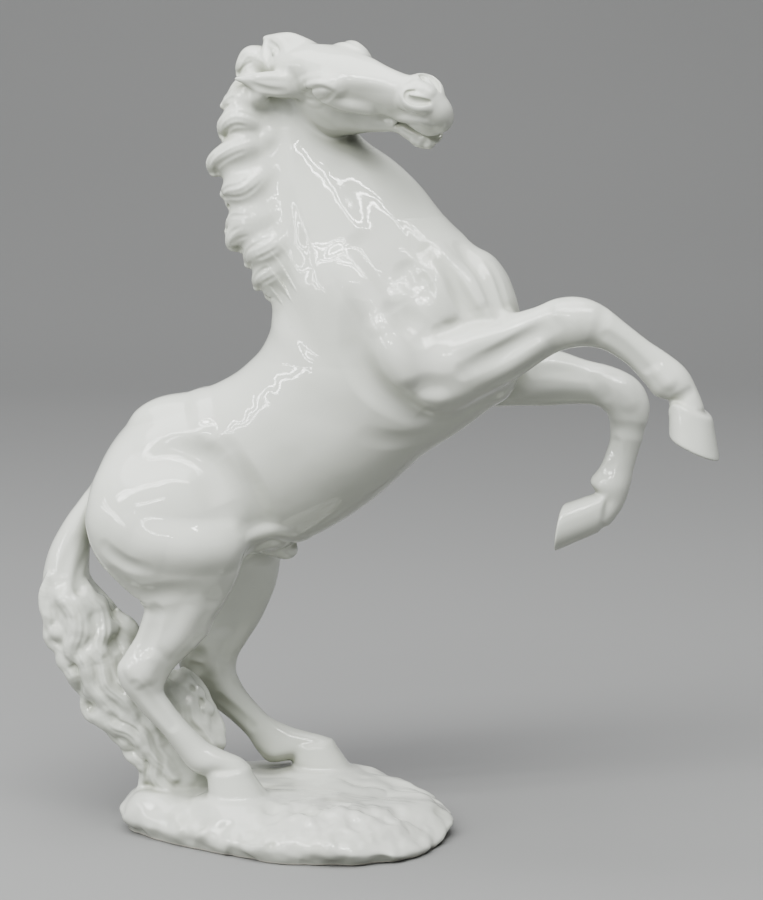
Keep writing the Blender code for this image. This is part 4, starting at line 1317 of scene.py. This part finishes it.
def even_out(quads, label, count, turns=10):
    """Labels with stray patches and ragged borders taken up by their neighbours."""
    kinds = max(LABEL.values()) + 1
    for _ in range(turns):
        votes = np.bincount((quads * kinds + label[:, None]).ravel(), minlength=count * kinds).reshape(count, kinds)
        label = votes[quads].sum(1).argmax(1)
    return label


def tidy(verts, quads, label, field):
    """Bring the points on a border between pieces onto the seam itself, where
    that is no more than part of a mesh away."""
    lab = label[:, None].repeat(4, 1)
    low = np.full(len(verts), 99)
    high = np.full(len(verts), -1)
    np.minimum.at(low, quads, lab)
    np.maximum.at(high, quads, lab)
    rim = low != high
    for name, lab_id in LABEL.items():
        k = np.nonzero(rim & (high == lab_id) & (high > 0))[0]
        if not len(k):
            continue
        v = verts[k]
        for _ in range(3):
            _, g = field.slope(v)
            m = seam_slope(name, v)
            along = m - (g * m).sum(1, keepdims=True) * g
            size = (along * along).sum(1)
            step = beyond(name, v) / np.maximum(size, 0.15)
            v = v - np.clip(step, -1.2, 1.2)[:, None] * along
            d, g = field.slope(v)
            v = v - d[:, None] * g
        near = np.linalg.norm(v - verts[k], axis=1) < 0.6 * field.h
        verts[k[near]] = v[near]
    return verts


def porcelain(name, white, pool, foot=False):
    """White porcelain under a clear glaze, deeper where the glaze has run together in the folds, with painted shade
    darkening the folds and the undersides.
    """
    mat = bpy.data.materials.new(name)
    mat.use_nodes = True
    nt = mat.node_tree
    n, link = nt.nodes, nt.links.new
    bsdf = n["Principled BSDF"]
    where = n.new("ShaderNodeTexCoord")
    # the fold mask: glaze pooled in the creases, darkened further there as painted shade
    fold = n.new("ShaderNodeAttribute")
    fold.attribute_name = "fold"
    cloud = n.new("ShaderNodeTexNoise")
    cloud.inputs["Scale"].default_value = 34.0
    cloud.inputs["Detail"].default_value = 4.0
    link(where.outputs["Object"], cloud.inputs["Vector"])
    tint = n.new("ShaderNodeValToRGB")
    tint.color_ramp.elements[0].position, tint.color_ramp.elements[1].position = 0.35, 0.68
    tint.color_ramp.elements[0].color = (white[0] * 0.965, white[1] * 0.975, white[2] * 0.965, 1)
    tint.color_ramp.elements[1].color = (white[0], white[1], white[2], 1)
    link(cloud.outputs["Fac"], tint.inputs["Fac"])
    fold_pool_and_shade = n.new("ShaderNodeMapRange")
    fold_pool_and_shade.inputs["From Min"].default_value, fold_pool_and_shade.inputs["From Max"].default_value = 0.12, 0.85
    fold_pool_and_shade.inputs["To Min"].default_value, fold_pool_and_shade.inputs["To Max"].default_value = 0.0, 0.9
    link(fold.outputs["Fac"], fold_pool_and_shade.inputs["Value"])
    mix = n.new("ShaderNodeMixRGB")
    mix.inputs["Color2"].default_value = (*pool, 1)
    link(fold_pool_and_shade.outputs["Result"], mix.inputs["Fac"])
    link(tint.outputs["Color"], mix.inputs["Color1"])
    # painted shade: the colour is darkened and greyed on downward-facing surfaces and beneath overhanging parts of the
    # figure
    underside_shade_mask = n.new("ShaderNodeAttribute")
    underside_shade_mask.attribute_name = "under"
    painted_underside_shade = n.new("ShaderNodeMapRange")
    painted_underside_shade.inputs["From Min"].default_value, painted_underside_shade.inputs["From Max"].default_value = 0.05, 0.95
    painted_underside_shade.inputs["To Min"].default_value, painted_underside_shade.inputs["To Max"].default_value = 0.0, 0.85
    link(underside_shade_mask.outputs["Fac"], painted_underside_shade.inputs["Value"])
    run = n.new("ShaderNodeMixRGB")
    run.inputs["Color2"].default_value = (white[0] * 0.31, white[1] * 0.315, white[2] * 0.27, 1)
    link(painted_underside_shade.outputs["Result"], run.inputs["Fac"])
    link(mix.outputs["Color"], run.inputs["Color1"])
    # pin holes and specks in the glaze
    speck = n.new("ShaderNodeTexVoronoi")
    speck.inputs["Scale"].default_value = 210.0
    link(where.outputs["Object"], speck.inputs["Vector"])
    dot = n.new("ShaderNodeMapRange")
    dot.inputs["From Min"].default_value, dot.inputs["From Max"].default_value = 0.05, 0.09
    dot.inputs["To Min"].default_value, dot.inputs["To Max"].default_value = 0.22, 0.0
    link(speck.outputs["Distance"], dot.inputs["Value"])
    rare = n.new("ShaderNodeMath")
    rare.operation = "GREATER_THAN"
    rare.inputs[1].default_value = 0.86
    link(speck.outputs["Color"], rare.inputs[0])
    few = n.new("ShaderNodeMath")
    few.operation = "MULTIPLY"
    link(rare.outputs[0], few.inputs[0])
    link(dot.outputs["Result"], few.inputs[1])
    mix2 = n.new("ShaderNodeMixRGB")
    mix2.inputs["Color2"].default_value = (pool[0] * 0.75, pool[1] * 0.72, pool[2] * 0.66, 1)
    link(few.outputs[0], mix2.inputs["Fac"])
    link(run.outputs["Color"], mix2.inputs["Color1"])
    colour = mix2.outputs["Color"]
    # gloss
    dull = n.new("ShaderNodeTexNoise")
    dull.inputs["Scale"].default_value = 120.0
    dull.inputs["Detail"].default_value = 5.0
    link(where.outputs["Object"], dull.inputs["Vector"])
    gloss = n.new("ShaderNodeMapRange")
    gloss.inputs["From Min"].default_value, gloss.inputs["From Max"].default_value = 0.3, 0.75
    gloss.inputs["To Min"].default_value, gloss.inputs["To Max"].default_value = 0.02, 0.06
    link(dull.outputs["Fac"], gloss.inputs["Value"])
    rough = gloss.outputs["Result"]
    if foot:
        # the rim that stood on the kiln shelf is bare
        split = n.new("ShaderNodeSeparateXYZ")
        link(where.outputs["Object"], split.inputs["Vector"])
        bare = n.new("ShaderNodeMapRange")
        bare.inputs["From Min"].default_value, bare.inputs["From Max"].default_value = 0.0007, 0.0014
        bare.inputs["To Min"].default_value, bare.inputs["To Max"].default_value = 1.0, 0.0
        link(split.outputs["Z"], bare.inputs["Value"])
        clay = n.new("ShaderNodeMixRGB")
        clay.inputs["Color2"].default_value = (0.72, 0.69, 0.62, 1)
        link(bare.outputs["Result"], clay.inputs["Fac"])
        link(colour, clay.inputs["Color1"])
        colour = clay.outputs["Color"]
        matt = n.new("ShaderNodeMath")
        matt.operation = "MULTIPLY_ADD"
        matt.inputs[1].default_value = 0.7
        link(bare.outputs["Result"], matt.inputs[0])
        link(rough, matt.inputs[2])
        rough = matt.outputs[0]
    link(colour, bsdf.inputs["Base Color"])
    link(rough, bsdf.inputs["Roughness"])
    skin = n.new("ShaderNodeTexNoise")
    skin.inputs["Scale"].default_value = 260.0
    skin.inputs["Detail"].default_value = 2.0
    link(where.outputs["Object"], skin.inputs["Vector"])
    bump = n.new("ShaderNodeBump")
    bump.inputs["Strength"].default_value = 0.05
    bump.inputs["Distance"].default_value = 0.0004
    link(skin.outputs["Fac"], bump.inputs["Height"])
    link(bump.outputs["Normal"], bsdf.inputs["Normal"])
    bsdf.inputs["IOR"].default_value = 1.52
    bsdf.inputs["Coat Weight"].default_value = 0.25
    bsdf.inputs["Coat Roughness"].default_value = 0.03
    return mat


# the second colour: pooled glaze with painted shade in the folds, and the tint of the specks
white_glaze = porcelain("body_glaze", (0.80, 0.82, 0.765), (0.50, 0.52, 0.43))
rock_glaze = porcelain("base_glaze", (0.79, 0.805, 0.755), (0.48, 0.50, 0.42), foot=True)

NODE = {"right_hind": "right_hind_leg", "left_hind": "left_hind_leg", "right_fore": "right_foreleg", "left_fore": "left_foreleg"}
LABEL["torso"] = 0
HIGH_LO = np.array((mane.lo[0], FIG_LO[1], 178.0))
HIGH_HI = np.array((108.0, FIG_HI[1], np.maximum(mane.hi, HEAD_HI)[2]))
LOW_LO = np.min([FIG_LO, tail.lo, rock.lo], axis=0)
LOW_HI = np.array((*np.max([FIG_HI, tail.hi, rock.hi], axis=0)[:2], 214.0))
RUNS = (
    (0.40, HIGH_LO, HIGH_HI, ("neck", "head", "right_ear", "left_ear", "mane")),
    (0.62, LOW_LO, LOW_HI, ("torso", "right_hind", "left_hind", "right_fore", "left_fore", "tail", "rock_base")),
)
for h, lo, hi, names in RUNS:
    v, q, grid = skin_of(figure, h * SCALE, lo, hi)
    label = even_out(q, sorted_out(v[q].mean(1)), len(v))
    v = tidy(v, q, label, grid)
    _, nrm = grid.slope(v)
    for name in names:
        node = NODE.get(name, name)
        slot, mat = ("base_glaze", rock_glaze) if name == "rock_base" else ("body_glaze", white_glaze)
        make(node, v, q[label == LABEL[name]], nrm, [node], mat, seal=True)

# =============================================================================
# Studio: a pale sweep of paper, soft light, four long tubes overhead and a few at the sides
# =============================================================================
sweep = [(-2.2, 0.0)]
sweep += [(1.1 + 0.9 * math.sin(a), 0.9 - 0.9 * math.cos(a)) for a in np.linspace(0, math.pi / 2, 24)]
sweep += [(2.0, 3.2)]
paper = bpy.data.meshes.new("floor")
pts = [(x, y, z) for y, z in sweep for x in (-4.0, 4.0)]
paper.from_pydata(pts, [], [(2 * i, 2 * i + 1, 2 * i + 3, 2 * i + 2) for i in range(len(sweep) - 1)])
paper.update()
paper.shade_smooth()
floor = bpy.data.objects.new("floor", paper)
bpy.context.scene.collection.objects.link(floor)
fm = bpy.data.materials.new("floor_paper")
fm.use_nodes = True
fn = fm.node_tree.nodes
grain = fn.new("ShaderNodeTexNoise")
grain.inputs["Scale"].default_value = 9.0
ramp = fn.new("ShaderNodeValToRGB")
ramp.color_ramp.elements[0].color = (0.26, 0.262, 0.265, 1)
ramp.color_ramp.elements[1].color = (0.29, 0.292, 0.295, 1)
fm.node_tree.links.new(grain.outputs["Fac"], ramp.inputs["Fac"])
fm.node_tree.links.new(ramp.outputs["Color"], fn["Principled BSDF"].inputs["Base Color"])
fn["Principled BSDF"].inputs["Roughness"].default_value = 0.85
fn["Principled BSDF"].inputs["Specular IOR Level"].default_value = 0.2
paper.materials.append(fm)


def lamp(name, loc, target, size, size_y, power, colour=(1, 1, 1), along=(1, 0, 0)):
    """A rectangle of light at a place, facing a point, its long side laid along a direction."""
    light = bpy.data.lights.new(name, "AREA")
    light.shape, light.size, light.size_y, light.energy = "RECTANGLE", size, size_y, power
    light.color = colour
    obj = bpy.data.objects.new(name, light)
    bpy.context.scene.collection.objects.link(obj)
    z = (Vector(loc) - Vector(target)).normalized()
    x = Vector(along)
    x = (x - z * x.dot(z)).normalized()
    y = z.cross(x)
    turn = Matrix((x, y, z)).transposed()
    obj.matrix_world = Matrix.Translation(loc) @ turn.to_4x4()
    return obj


for i in range(4):
    lamp(f"tube_{i}", (-0.33 + 0.03 * i, -1.03 + 0.13 * i, 1.25), (0.0, -0.05, 0.17), 2.4, 0.024, 10.5, (0.99, 1.0, 0.965), (0.97, 0.24, 0))
for i in range(2):
    lamp(f"low_tube_{i}", (-0.45, -1.50, 0.86 + 0.07 * i), (-0.02, -0.03, 0.18), 0.8, 0.010, 1.8, (0.98, 1.0, 0.97), (1, 0, 0.15))
for i in range(3):
    lamp(f"left_tube_{i}", (-0.98, -0.50, 0.345 + 0.05 * i), (0.0, -0.03, 0.17), 0.8, 0.012, 1.2, (0.98, 1.0, 0.97), (0.0, -1.0, -0.12))
lamp("soft_top", (-0.3, -0.15, 1.9), (0, 0, 0.15), 2.0, 1.6, 44.0)
lamp("soft_side", (1.4, -1.2, 0.9), (0.05, 0, 0.15), 1.0, 1.0, 0.25)
world = bpy.data.worlds.new("studio")
bpy.context.scene.world = world
world.use_nodes = True
world.node_tree.nodes["Background"].inputs["Color"].default_value = (0.86, 0.88, 0.9, 1)
world.node_tree.nodes["Background"].inputs["Strength"].default_value = 0.03

cam = bpy.data.cameras.new("camera")
cam.lens, cam.sensor_width = SIGHT_F / 900.0 * 36.0, 36.0
cam.clip_end = 20.0
cam_obj = bpy.data.objects.new("camera", cam)
bpy.context.scene.collection.objects.link(cam_obj)
cam_obj.location = (SIGHT_X / 1000, -SIGHT_D / 1000, SIGHT_H / 1000)
cam_obj.rotation_euler = (math.pi / 2 - SIGHT_TIP, 0, 0)
bpy.context.scene.camera = cam_obj
